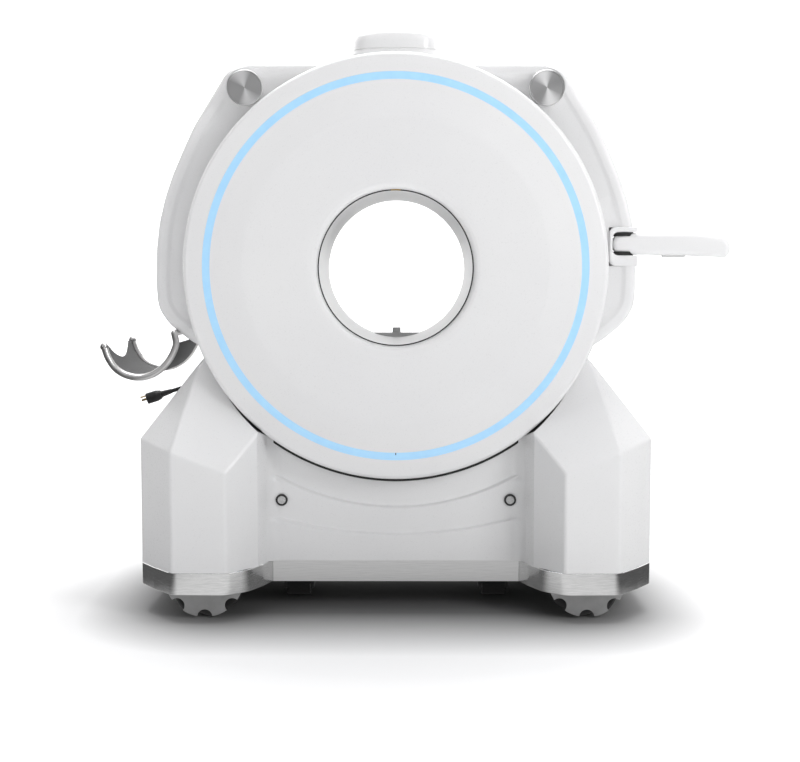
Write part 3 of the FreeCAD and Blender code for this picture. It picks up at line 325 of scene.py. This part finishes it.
def make_world():
    """A pale dome, darker low down and to both sides, so metal has something to reflect."""
    world = bpy.data.worlds.new("studio")
    bpy.context.scene.world = world
    world.use_nodes = True
    tree = world.node_tree
    coordinates = tree.nodes.new("ShaderNodeTexCoord")
    split = tree.nodes.new("ShaderNodeSeparateXYZ")
    side = tree.nodes.new("ShaderNodeMapRange")
    side.inputs["From Min"].default_value = -1.0
    across = tree.nodes.new("ShaderNodeValToRGB")
    rise = tree.nodes.new("ShaderNodeValToRGB")
    both = tree.nodes.new("ShaderNodeMix")
    both.data_type = "RGBA"
    both.blend_type = "MULTIPLY"
    both.inputs["Factor"].default_value = 1.0
    tree.links.new(coordinates.outputs["Generated"], split.inputs[0])
    tree.links.new(split.outputs["X"], side.inputs["Value"])
    tree.links.new(side.outputs["Result"], across.inputs["Fac"])
    tree.links.new(split.outputs["Z"], rise.inputs["Fac"])
    for ramp, stops in (
        (across, ((0.04, 0.06), (0.26, 0.62), (0.62, 1.0), (0.80, 1.0), (0.97, 0.15))),
        (rise, ((0.0, 0.55), (0.55, 1.0))),
    ):
        stretch = ramp.color_ramp.elements
        while len(stretch) < len(stops):
            stretch.new(0.5)
        for element, (position, level) in zip(stretch, stops):
            element.position = position
            element.color = (level, level, level * 1.01, 1)
    tree.links.new(across.outputs["Color"], both.inputs["A"])
    tree.links.new(rise.outputs["Color"], both.inputs["B"])
    background = tree.nodes["Background"]
    tree.links.new(both.outputs["Result"], background.inputs["Color"])
    background.inputs["Strength"].default_value = 0.62


make_world()
bpy.context.scene.view_settings.view_transform = "Standard"


def stage_plane(name, corners, material):
    mesh = bpy.data.meshes.new(name)
    mesh.from_pydata(corners, [], [(0, 1, 2, 3)])
    plane = bpy.data.objects.new(name, mesh)
    mesh.materials.append(material)
    bpy.context.scene.collection.objects.link(plane)


PAPER = 0.92
# the painted shadow on the floor: its half size round the machine, and how far out it fades to plain paper
PAINTED_SHADOW_HALF = (0.45, 0.24)
PAINTED_SHADOW_REACH = 0.40


def painted_contact_shadow(paper, split):
    """Painted shadow: darker paper below the machine and close round it."""
    apart = paper.add("ShaderNodeCombineXYZ")
    for axis, half in enumerate(PAINTED_SHADOW_HALF):
        size = paper.math("ABSOLUTE", split, output=axis)
        beyond = paper.math("MAXIMUM", paper.math("SUBTRACT", size, half), 0.0)
        paper.link(beyond, apart, axis)
    length = paper.add("ShaderNodeVectorMath", operation="LENGTH")
    paper.link(apart, length, 0)
    return paper.span(length, 0.0, PAINTED_SHADOW_REACH, 0.18, 1.0, output="Value")


def floor_material():
    """White paper that glows far off, with a painted shadow below the machine; in reflections it shows a
    painted reflection, darker at both sides.
    """
    paper = Paint("studio_floor", grey(PAPER), 0.9)
    paper.set(paper.shader, "Specular IOR Level", 0.0)
    paper.set(paper.shader, "Emission Color", (1.0, 1.0, 1.0, 1.0))
    place = paper.add("ShaderNodeNewGeometry")
    apart = paper.add("ShaderNodeVectorMath", operation="LENGTH")
    paper.link(place, apart, 0)
    glow = paper.span(apart, 0.8, 2.4, 0.0, 0.6, output="Value")
    paper.link(glow, paper.shader, "Emission Strength")
    split = paper.add("ShaderNodeSeparateXYZ")
    paper.link(place, split, 0)
    # painted shadow: the paper's base colour is darkened below and close round the machine
    painted_shadow = painted_contact_shadow(paper, split)
    paper_with_painted_shadow = paper.add("ShaderNodeMix", data_type="RGBA", blend_type="MULTIPLY")
    paper_with_painted_shadow.inputs[0].default_value = 1.0
    paper_with_painted_shadow.inputs[6].default_value = (*grey(PAPER), 1.0)
    paper.link(painted_shadow, paper_with_painted_shadow, 7)
    paper.link(paper_with_painted_shadow, paper.shader, "Base Color", 2)
    # painted reflection: glossy rays see an emission darker at both sides, also dimmed by the painted
    # shadow
    painted_reflection_sides = paper.span(paper.math("ABSOLUTE", split), 0.66, 0.98, 0.75, 0.10)
    painted_reflection_shadowed = paper.math("MULTIPLY", painted_reflection_sides, painted_shadow)
    painted_reflection = paper.add("ShaderNodeEmission")
    paper.link(painted_reflection_shadowed, painted_reflection, "Strength")
    path = paper.add("ShaderNodeLightPath")
    mixed = paper.add("ShaderNodeMixShader")
    paper.link(path, mixed, "Fac", "Is Glossy Ray")
    paper.tree.links.new(paper.shader.outputs[0], mixed.inputs[1])
    paper.tree.links.new(painted_reflection.outputs[0], mixed.inputs[2])
    paper.link(mixed, paper.tree.nodes["Material Output"], "Surface")
    return paper.material


def make_stage():
    wall_white = Paint("studio_wall", grey(0.9), 0.9)
    wall_white.set(wall_white.shader, "Emission Color", (1.0, 1.0, 1.0, 1.0))
    wall_white.set(wall_white.shader, "Emission Strength", 0.9)
    wide, near, far, high = 30.0, -12.0, 14.0, 16.0
    floor = [(-wide, near, 0), (wide, near, 0), (wide, far, 0), (-wide, far, 0)]
    stage_plane("studio_floor", floor, floor_material())
    wall = [(-wide, far, 0), (wide, far, 0), (wide, far, high), (-wide, far, high)]
    stage_plane("studio_wall", wall, wall_white.material)


make_stage()

# mesh helpers


def piece(name, material, vertices, faces, body="frame", smooth=32):
    """A mesh piece that rides on a body, smooth but for edges sharper than an angle."""
    mesh = bpy.data.meshes.new(name)
    mesh.from_pydata([tuple(spot) for spot in vertices], [], faces)
    mesh.validate()
    made = bpy.data.objects.new(name, mesh)
    bpy.context.scene.collection.objects.link(made)
    mesh.materials.append(MATERIALS[material])
    tidy = bmesh.new()
    tidy.from_mesh(mesh)
    bmesh.ops.recalc_face_normals(tidy, faces=tidy.faces)
    tidy.to_mesh(mesh)
    tidy.free()
    mesh.shade_smooth()
    mesh.set_sharp_from_angle(angle=math.radians(smooth))
    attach(made, body)
    return made


def skin(rows, closed_rows=True, closed_column=False, caps=False):
    """Faces between rows of vertices that all have one length."""
    vertices = [spot for row in rows for spot in row]
    wide = len(rows[0])
    faces = []
    for index in range(len(rows) if closed_column else len(rows) - 1):
        low = index * wide
        high = (index + 1) % len(rows) * wide
        for step in range(wide if closed_rows else wide - 1):
            after = (step + 1) % wide
            faces.append((low + step, low + after, high + after, high + step))
    if caps:
        faces.append(tuple(range(wide)))
        faces.append(tuple(range(len(vertices) - wide, len(vertices))))
    return vertices, faces


def lathe(name, material, profile, centre, steps=128, arc=None, **facts):
    """A profile of (radius, y) turned about an axis along Y; arc is (from, to) in degrees."""
    rows = []
    start, end = arc or (0, 360)
    count = steps if arc is None else steps + 1
    for step in range(count):
        angle = math.radians(start + (end - start) * step / steps)
        side, up = math.cos(angle), math.sin(angle)
        rows.append([(centre[0] + r * side, y, centre[1] + r * up) for r, y in profile])
    vertices, faces = skin(rows, True, arc is None, arc is not None)
    return piece(name, material, vertices, faces, **facts)


def rounded(points, radius, steps=6):
    """A polyline's corners replaced by arcs; radius may be one number or one for each point."""
    spots = [Vector(point) for point in points]
    radii = radius if isinstance(radius, (list, tuple)) else [radius] * len(spots)
    path = []
    for index, here in enumerate(spots):
        if index in (0, len(spots) - 1):
            path.append(here)
            continue
        before = spots[index - 1]
        after = spots[index + 1]
        arrive, leave = (here - before), (after - here)
        turn = arrive.angle(leave)
        if turn < 0.02 or radii[index] == 0:
            path.append(here)
            continue
        reach = min(radii[index] * math.tan(turn / 2), 0.49 * arrive.length, 0.49 * leave.length)
        first, last = here - arrive.normalized() * reach, here + leave.normalized() * reach
        for step in range(steps + 1):
            share = step / steps
            path.append(
                first * (1 - share) ** 2 + here * 2 * share * (1 - share) + last * share**2
            )
    return path


def offset_path(path, distance):
    """A plane path (x, y) moved sideways, to its left."""
    moved = []
    for index, here in enumerate(path):
        before = path[index - 1] if index > 0 else here
        after = path[index + 1] if index < len(path) - 1 else here
        along = (Vector(after) - Vector(before)).normalized()
        moved.append(Vector(here) + Vector((-along.y, along.x)) * distance)
    return moved


# bumper skirts: rounded corners, and an inner end that flows into the beam


SKIRT_WALL = 0.005
SKIRT_EDGE = 0.0014
SKIRT_FRONT = [
    (0.3325, -0.1905),
    (0.352, -0.246),
    (0.385, -0.312),
    (0.440, -0.3555),
    (0.580, -0.3505),
    (0.638, -0.280),
    (0.6815, -0.217),
]
SKIRT_BENDS = [0, 0.09, 0.10, 0.05, 0.035, 0.05, 0.03]


def bumper_skirt(name, side):
    """A folded sheet round one pod, from the beam in front to the beam behind."""
    node = f"bumper_skirt_{name}"
    low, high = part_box(node)
    plan = SKIRT_FRONT + [(x, -y) for x, y in SKIRT_FRONT[::-1]]
    path = rounded([Vector(point) for point in plan], SKIRT_BENDS + SKIRT_BENDS[::-1], 8)
    wall, edge = SKIRT_WALL, SKIRT_EDGE
    section = [
        (0, low[2] + edge),
        (edge, low[2]),
        (wall - edge, low[2]),
        (wall, low[2] + edge),
        (wall, high[2] - edge),
        (wall - edge, high[2]),
        (edge, high[2]),
        (0, high[2] - edge),
    ]
    columns = [(offset_path(path, inside), height) for inside, height in section]
    rows = [
        [(side * line[index].x, line[index].y, height) for line, height in columns]
        for index in range(len(path))
    ]
    vertices, faces = skin(rows, True, False, True)
    made = piece(f"skirt_{name}", "bumper_steel", vertices, faces)
    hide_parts(node)


for name, side in (("left", -1), ("right", 1)):
    bumper_skirt(name, side)

# front ring cover: a finer lathe, with the light's groove and a soft rim

BORE = (0.0, BORE_Z)
RIM_BACK = FRONT_HIGH[1]
SEAT = 0.003


def ring_profile():
    """Profile from the bore's flare over the face, the light's groove and the rim, and back inside."""
    face, facet, groove = -0.2745, 0.399, (0.484, 0.504)
    slope = 0.017 / (0.545 - facet)

    def sloped(radius):
        return face + max(0.0, radius - facet) * slope

    flare = [(0.2032, -0.255), (0.2045, -0.262), (0.208, -0.268), (0.213, -0.2715), (0.220, -0.2735)]
    front = [(0.232, face), (facet - 0.002, face), (facet + 0.002, sloped(facet + 0.002))]
    light = []
    for radius, first, last in ((groove[0], 0, SEAT), (groove[1], SEAT, 0)):
        light += [(radius, sloped(radius) + first), (radius, sloped(radius) + last)]
    rim = []
    for step in range(9):
        angle = math.pi / 2 * step / 8
        rim.append((0.543 + 0.0138 * math.sin(angle), -0.2425 - 0.0150 * math.cos(angle)))
    inside = [(0.5568, RIM_BACK), (0.5518, RIM_BACK), (0.5518, -0.242), (0.543, -0.2505)]
    inside += [(facet, face + 0.007), (0.222, -0.266), (0.2082, -0.255)]
    return flare + front + light + rim + inside


front_ring = lathe("front_ring", "cover_white", ring_profile(), BORE, 192, smooth=3)
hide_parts("front_cover")


def light_band():
    face, facet = -0.2745, 0.399
    slope = 0.017 / (0.545 - facet)
    inner, outer = 0.4842, 0.5038
    level = [face + (radius - facet) * slope for radius in (inner, outer)]
    proud = 0.0002
    profile = [
        (inner, level[0] + SEAT - 0.0001),
        (inner, level[0] - proud),
        (outer, level[1] - proud),
        (outer, level[1] + SEAT - 0.0001),
    ]
    made = lathe("light_band", "light_strip", profile, BORE, 192)
    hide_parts("light_ring")
    tick = [(0.4842, level[0] - 0.0004), (0.490, level[0] - 0.0001), (0.490, level[0]), (0.4842, level[0])]
    lathe("light_tick", "sensor_ring", tick, BORE, 2, arc=(269.85, 270.15))


light_band()


def ring_seal():
    """A dark lip between the ring cover and the base, seen all round its lower half."""
    for name, side in (("front", -1), ("rear", 1)):
        y = side * 0.1915
        profile = [(0.5585, y - 0.004), (0.5705, y - 0.004), (0.5705, y + 0.001), (0.5585, y + 0.001)]
        lathe(f"ring_seal_{name}", "belt_rubber", profile, BORE, 96, arc=(234.5, 305.5))


ring_seal()

# top pod


def superellipse(half_x, half_y, power, height, steps=72):
    spots = []
    for step in range(steps):
        angle = 2 * math.pi * step / steps
        side, along = math.cos(angle), math.sin(angle)
        spots.append(
            (
                half_x * math.copysign(abs(side) ** (2 / power), side),
                half_y * math.copysign(abs(along) ** (2 / power), along),
                height,
            )
        )
    return spots


def pod():
    low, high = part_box("top_pod")
    top, wide, out = high[2], high[0], high[1]
    levels = [
        (-0.088, 1.100, 1.020, 4.5),
        (-0.066, 1.100, 1.020, 4.5),
        (-0.059, 1.085, 1.015, 4.5),
        (-0.055, 1.060, 1.005, 4.5),
        (-0.0505, 1.050, 1.000, 4.5),
        (-0.0495, 1.036, 0.990, 4.5),
        (-0.0480, 1.036, 0.990, 4.5),
        (-0.0470, 1.048, 1.000, 4.5),
        (-0.028, 1.040, 0.998, 4.5),
        (-0.019, 1.024, 0.994, 4.4),
        (-0.012, 0.996, 0.988, 4.2),
        (-0.007, 0.950, 0.978, 4.0),
        (-0.0035, 0.885, 0.958, 3.7),
        (-0.0012, 0.780, 0.915, 3.4),
        (-0.0003, 0.640, 0.800, 3.0),
        (0.000, 0.400, 0.500, 2.5),
    ]
    rows = [superellipse(wide * a, out * b, power, top + drop) for drop, a, b, power in levels]
    vertices, faces = skin(rows, True, False, True)
    made = piece("pod_cover", "cover_white", vertices, faces, smooth=40)
    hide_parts("top_pod")


pod()

# shoulder covers: a smooth outline with a raised edge band, and a rim round the arm's pocket

SHOULDER_FACE = 0.155
SHOULDER_ROUND = (0.014, 0.016)
SHOULDER_FLAT = 0.09
POCKET = (0.571, 0.924, 1.027)
POCKET_MOUTHS = (
    ("front", -1, (0.9520, 1.0140, 0.5800), 0.018),
    ("rear", 1, (0.9335, 1.0215, 0.5755), 0.006),
)
RIM_SECTION = (
    (-0.002, -0.010),
    (0.0005, 0.0015),
    (0.25, 0.0035),
    (0.75, 0.0035),
    (1.0, 0.0),
    (1.0, -0.018),
)
ARM_PIN = (0.611, -0.129)
SEAL_RADIUS = 0.0284
SEALS = (("low", 0.9522, 0.9625), ("high", 1.0035, 1.0138))


def shoulder_outline(side, top):
    """Outline from the middle of the top, down the outer side and back under the ring."""
    corners = [
        ((0.0, top), 0),
        ((0.395, top - 0.001), 0.05),
        ((0.448, top - 0.020), 0.06),
        ((0.500, 1.357), 0.25),
        ((0.540, 1.293), 0.30),
        ((0.570, 1.229), 0.30),
        ((0.596, 1.170), 0.30),
        ((0.618, 1.108), 0.30),
        ((0.635, 1.040), 0.30),
        ((0.6445, 0.960), 0.30),
        ((0.646, 0.880), 0.20),
        ((0.6415, 0.812), 0.12),
        ((0.612, 0.768), 0.12),
        ((0.560, 0.726), 0.20),
        ((0.500, 0.690), 0),
    ]
    path = rounded([Vector(spot) for spot, bend in corners], [bend for spot, bend in corners], 7)
    return [Vector((side * spot.x, spot.y)) for spot in path]


def shoulder_shell(name, side):
    node = f"shoulder_cover_{name}"
    low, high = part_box(node)
    path = shoulder_outline(side, high[2])
    inward = -side
    inset, depth = SHOULDER_ROUND
    levels = [(0.0, SHOULDER_FACE - depth)]
    for step in range(1, 7):
        angle = math.pi / 2 * step / 6
        levels.append((inset * (1 - math.cos(angle)), SHOULDER_FACE - depth + depth * math.sin(angle)))
    levels += [
        (0.027, SHOULDER_FACE - 0.0002),
        (0.0315, SHOULDER_FACE - 0.0022),
        (0.036, SHOULDER_FACE - 0.0060),
        (0.042, SHOULDER_FACE - 0.0080),
    ]
    columns = []
    axis = Vector((0.0, BORE_Z))
    for end in (-1, 1):
        stretch = [(offset_path(path, inward * inside), end * out) for inside, out in levels]
        flat = [spot + (axis - spot).normalized() * SHOULDER_FLAT for spot in stretch[-1][0]]
        stretch.append((flat, end * (SHOULDER_FACE - 0.0085)))
        columns += stretch[::-1] if end == -1 else stretch
    rows = [[(line[i].x, y, line[i].y) for line, y in columns] for i in range(len(path))]
    vertices, faces = skin(rows, False, False)
    made = piece(f"shoulder_{name}", "cover_white", vertices, faces, smooth=50)
    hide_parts(node)
    return made


def cut_pocket(shell):
    """Drop the shell's faces inside the arm's channel, which the liner then closes."""
    tidy = bmesh.new()
    tidy.from_mesh(shell.data)
    back, low, high = POCKET
    for spot, normal in (
        ((back, 0, 0), (1, 0, 0)),
        ((0, 0, low), (0, 0, 1)),
        ((0, 0, high), (0, 0, 1)),
    ):
        everything = tidy.verts[:] + tidy.edges[:] + tidy.faces[:]
        bmesh.ops.bisect_plane(tidy, geom=everything, dist=1e-6, plane_co=spot, plane_no=normal)
    inside = [
        face
        for face in tidy.faces
        if face.calc_center_median().x > back and low < face.calc_center_median().z < high
    ]
    bmesh.ops.delete(tidy, geom=inside, context="FACES")
    tidy.to_mesh(shell.data)
    tidy.free()


for name, side in (("left", -1), ("right", 1)):
    shell = shoulder_shell(name, side)
    if side > 0:
        cut_pocket(shell)


def pocket_parts():
    """A soft white rim round the channel's mouth, the channel's liner, and seals at the knuckle."""
    back, low, high = POCKET
    outer = [(0.6460, high), (back, high), (back, low), (0.6465, low)]
    outer = rounded([Vector(spot) for spot in outer], [0, 0.024, 0.024, 0], 8)
    for label, end, (inner_low, inner_high, inner_back), bend in POCKET_MOUTHS:
        inner = [
            (0.6460, inner_high),
            (inner_back, inner_high),
            (inner_back, inner_low),
            (0.6465, inner_low),
        ]
        inner = rounded([Vector(spot) for spot in inner], [0, bend, bend, 0], 8)
        rows = []
        for first, second in zip(outer, inner):
            width = (second - first).length
            across = (second - first).normalized()
            out = end * SHOULDER_FACE
            row = []
            for share, proud in RIM_SECTION:
                spot = first + across * (share * width if share > 0.001 else share)
                row.append((spot.x, out + end * proud, spot.y))
            rows.append(row)
        vertices, faces = skin(rows, False, False)
        piece(f"pocket_rim_{label}", "cover_white", vertices, faces, smooth=60)
    rows = [
        [(spot.x, y, spot.y) for y in (-SHOULDER_FACE + 0.017, SHOULDER_FACE - 0.017)]
        for spot in inner
    ]
    vertices, faces = skin(rows, False, False)
    piece("pocket_liner", "carriage_dark", vertices, faces)
    angles = [2 * math.pi * step / 48 for step in range(48)]
    ring = [
        (ARM_PIN[0] + SEAL_RADIUS * math.cos(angle), ARM_PIN[1] + SEAL_RADIUS * math.sin(angle))
        for angle in angles
    ]
    for label, start, end in SEALS:
        rows = [[(x, y, z) for x, y in ring] for z in (start, end)]
        vertices, faces = skin(rows, True, False, True)
        piece(f"knuckle_seal_{label}", "belt_rubber", vertices, faces, body="steering_arm")


pocket_parts()

# small things on the front: sensor lenses, corner fillets, a window in the bore's lip


def sensor_lens(name, side):
    low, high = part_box("panel_sensors")
    centre = (side * (high[0] - 0.016), (low[2] + high[2]) / 2)
    face = low[1]
    lens = [(0.0, face - 0.0016), (0.006, face - 0.0015), (0.0105, face - 0.0008), (0.0112, face + 0.001)]
    lathe(f"sensor_lens_{name}", "lens_grey", lens + [(0.0, face + 0.001)], centre, 48)
    collar = [(0.0115, face + 0.0005), (0.0120, face - 0.0012), (0.0150, face - 0.0012), (0.0158, face)]
    lathe(f"sensor_collar_{name}", "sensor_ring", collar + [(0.0158, face + 0.0005)], centre, 48)


PANEL_FACE = 0.1895
PANEL_BACK = 0.1815
LEDGE_RISE = 0.0042
COVE_DEPTH = 0.0034
LEDGES = ((0.641, BORE_Z), (1.172, 1.376))
FILLET_ACROSS = (0.308, 0.3375, 0.3505)
FILLET_OUT = 0.2290


def panel_top(across, gap=0.005):
    """Height at which the ring cover's clearance cuts off a panel, at one place across."""
    return BORE_Z - math.sqrt((FRONT_HIGH[0] + gap) ** 2 - across**2)


def ease(value):
    """0 to 1, level at both ends."""
    share = min(1.0, max(0.0, value))
    return share * share * (3 - 2 * share)


def panel_face(across, height):
    """How far out a centre panel's face is: two curved ledges, each with a shallow cove above it."""
    out = PANEL_FACE
    for radius, centre in LEDGES:
        beyond = math.hypot(across, height - centre) - radius
        below = ease((beyond + 0.0035) / 0.007)
        cove = COVE_DEPTH * math.exp(min(0.0, beyond) / 0.022)
        out += LEDGE_RISE * below - cove * (1 - below)
    return out


def centre_panel(name, end):
    """The panel between the base covers, as one moulded skin with its ledges."""
    half, low, columns, levels = 0.3285, 0.1322, 84, 130
    rows = []
    for column in range(columns + 1):
        across = -half + 2 * half * column / columns
        top = panel_top(across)
        heights = [low + (top - low) * level / levels for level in range(levels + 1)]
        row = [(across, end * PANEL_BACK, heights[0])]
        row += [(across, end * panel_face(across, height), height) for height in heights]
        row.append((across, end * PANEL_BACK, heights[-1]))
        rows.append(row)
    vertices, faces = skin(rows, True, False, True)
    made = piece(f"panel_{name}", "cover_white", vertices, faces, smooth=40)
    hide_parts(f"{name}_panel")


def corner_fillet(name, side, end):
    """A soft inside corner between the centre panel and the base cover beside it."""

    def place(share, height):
        start = panel_face(FILLET_ACROSS[0], height) + 0.0003
        parts = ((1 - share) ** 2, 2 * share * (1 - share), share**2)
        across = sum(a * b for a, b in zip(parts, FILLET_ACROSS))
        out = sum(a * b for a, b in zip(parts, (start, start, FILLET_OUT)))
        return across, out

    rows = []
    for step in range(14):
        share = min(1.0, step / 11)
        top = panel_top(place(share, 0.2)[0], 0.006)
        row = []
        for level in range(61):
            height = 0.1325 + (top - 0.1325) * level / 60
            across, out = place(share, height)
            if step > 11:
                across, out = (0.3530, 0.2270) if step == 12 else (0.3400, 0.1850)
            row.append((side * across, end * out, height))
        rows.append(row)
    vertices, faces = skin(rows, False, False)
    piece(f"corner_fillet_{name}", "cover_white", vertices, faces, smooth=50)


centre_panel("front", -1)
centre_panel("rear", 1)
for name, side in (("left", -1), ("right", 1)):
    sensor_lens(name, side)
    corner_fillet(f"front_{name}", side, -1)
    corner_fillet(f"rear_{name}", side, 1)


def bar_end(name, side):
    """The turned face of a lifting bar, with a fine bright edge."""
    low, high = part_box("bar_end_caps")
    radius = 0.0465
    centre = (side * (high[0] - radius), high[2] - radius)
    face = low[1]
    profile = [
        (0.0, face - 0.0010),
        (0.0405, face - 0.0010),
        (0.0412, face - 0.0004),
        (0.0420, face - 0.0004),
        (0.0427, face - 0.0014),
        (0.0452, face - 0.0014),
        (0.0462, face - 0.0004),
        (0.0462, face + 0.002),
        (0.0, face + 0.002),
    ]
    lathe(f"bar_end_{name}", "spun_metal", profile, centre, 96)


for name, side in (("left", -1), ("right", 1)):
    bar_end(name, side)


def bore_window():
    """A small amber window in the bore's front lip, at the top."""
    profile = [(0.2006, -0.2552), (0.2028, -0.2562), (0.2028, -0.2540), (0.2006, -0.2540)]
    lathe("bore_window", "amber_glass", profile, BORE, 6, arc=(86.5, 93.5))
    seam = [(0.2004, -0.2554), (0.2036, -0.2554), (0.2036, -0.2548), (0.2004, -0.2548)]
    lathe("bore_seam", "sensor_ring", seam, BORE, 128)


bore_window()

# power cord

GLAND_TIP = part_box("cord_gland")[1][1]
CORD_DIAMETER = 0.012
COIL_MIDDLE = (-0.230, 0.292)
COIL_RADII = (0.048, 0.060, 0.072, 0.084)
ROUTE_OUT = [
    (0.110, GLAND_TIP, 0.232),
    (0.111, GLAND_TIP + 0.038, 0.230),
    (0.109, 0.294, 0.212),
    (0.106, 0.314, 0.176),
    (0.104, 0.323, 0.130),
    (0.098, 0.329, 0.084),
    (0.084, 0.337, 0.042),
    (0.050, 0.346, 0.014),
    (0.000, 0.354, 0.0064),
    (-0.070, 0.366, 0.006),
    (-0.152, 0.3745, 0.0062),
]
ROUTE_PLUG = [
    (-0.290, 0.377, 0.012),
    (-0.355, 0.388, 0.0062),
    (-0.416, 0.399, 0.006),
    (-0.464, 0.402, 0.016),
    (-0.495, 0.401, 0.050),
    (-0.503, 0.400, 0.110),
    (-0.499, 0.399, 0.220),
    (-0.503, 0.400, 0.330),
    (-0.497, 0.400, 0.430),
    (-0.495, 0.400, 0.508),
    (-0.528, 0.400, 0.556),
    (-0.581, 0.400, 0.573),
    (-0.645, 0.400, 0.556),
    (-0.705, 0.400, 0.537),
]
TURN_POINTS = 16


def coil_points():
    """Four flat turns inwards on the floor and four turns outwards on top of them."""
    turns = len(COIL_RADII)
    layers = [list(reversed(COIL_RADII)), list(COIL_RADII)]
    points = []
    for layer, radii in enumerate(layers):
        height = CORD_DIAMETER * (0.5 + layer)
        for turn, radius in enumerate(radii):
            following = radii[turn + 1] if turn + 1 < turns else radius
            for step in range(TURN_POINTS):
                share = step / TURN_POINTS
                angle = math.pi / 2 + 2 * math.pi * share
                reach = radius + (following - radius) * max(0.0, share - 0.7) / 0.3
                lift = height
                if layer == 0 and turn + 1 == turns:
                    lift += CORD_DIAMETER * max(0.0, share - 0.5) / 0.5
                points.append(
                    (
                        COIL_MIDDLE[0] + reach * math.cos(angle),
                        COIL_MIDDLE[1] + reach * math.sin(angle),
                        lift,
                    )
                )
    top = CORD_DIAMETER * (0.5 + len(layers) - 1)
    points.append((COIL_MIDDLE[0], COIL_MIDDLE[1] + COIL_RADII[-1], top))
    return points


def nurbs_line(name, points, radius=0.0):
    curve = bpy.data.curves.new(name, "CURVE")
    curve.dimensions = "3D"
    curve.bevel_depth = radius
    curve.bevel_resolution = 4
    curve.resolution_u = 6
    spline = curve.splines.new("NURBS")
    spline.points.add(len(points) - 1)
    for spot, place in zip(spline.points, points):
        spot.co = (*place, 1.0)
    spline.order_u = 3
    spline.use_endpoint_u = True
    curve.use_fill_caps = True
    line = bpy.data.objects.new(name, curve)
    bpy.context.scene.collection.objects.link(line)
    return line


def line_length(points):
    return sum((Vector(b) - Vector(a)).length for a, b in zip(points, points[1:]))


def sampled(points):
    """Points along the route's own NURBS spline."""
    bare = nurbs_line("route_probe", points)
    mesh = bpy.data.meshes.new_from_object(bare.evaluated_get(bpy.context.evaluated_depsgraph_get()))
    spots = [vertex.co.copy() for vertex in mesh.vertices]
    bpy.data.objects.remove(bare)
    return spots


def power_cord():
    route = ROUTE_OUT + coil_points() + ROUTE_PLUG
    bpy.context.view_layer.update()
    length = line_length(sampled(route))
    cord = nurbs_line("power_cord", route, CORD_DIAMETER / 2)
    cord.data.materials.append(MATERIALS["cord_black"])
    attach(cord, "frame")
    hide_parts("cord_tube", "cord_coil")


power_cord()
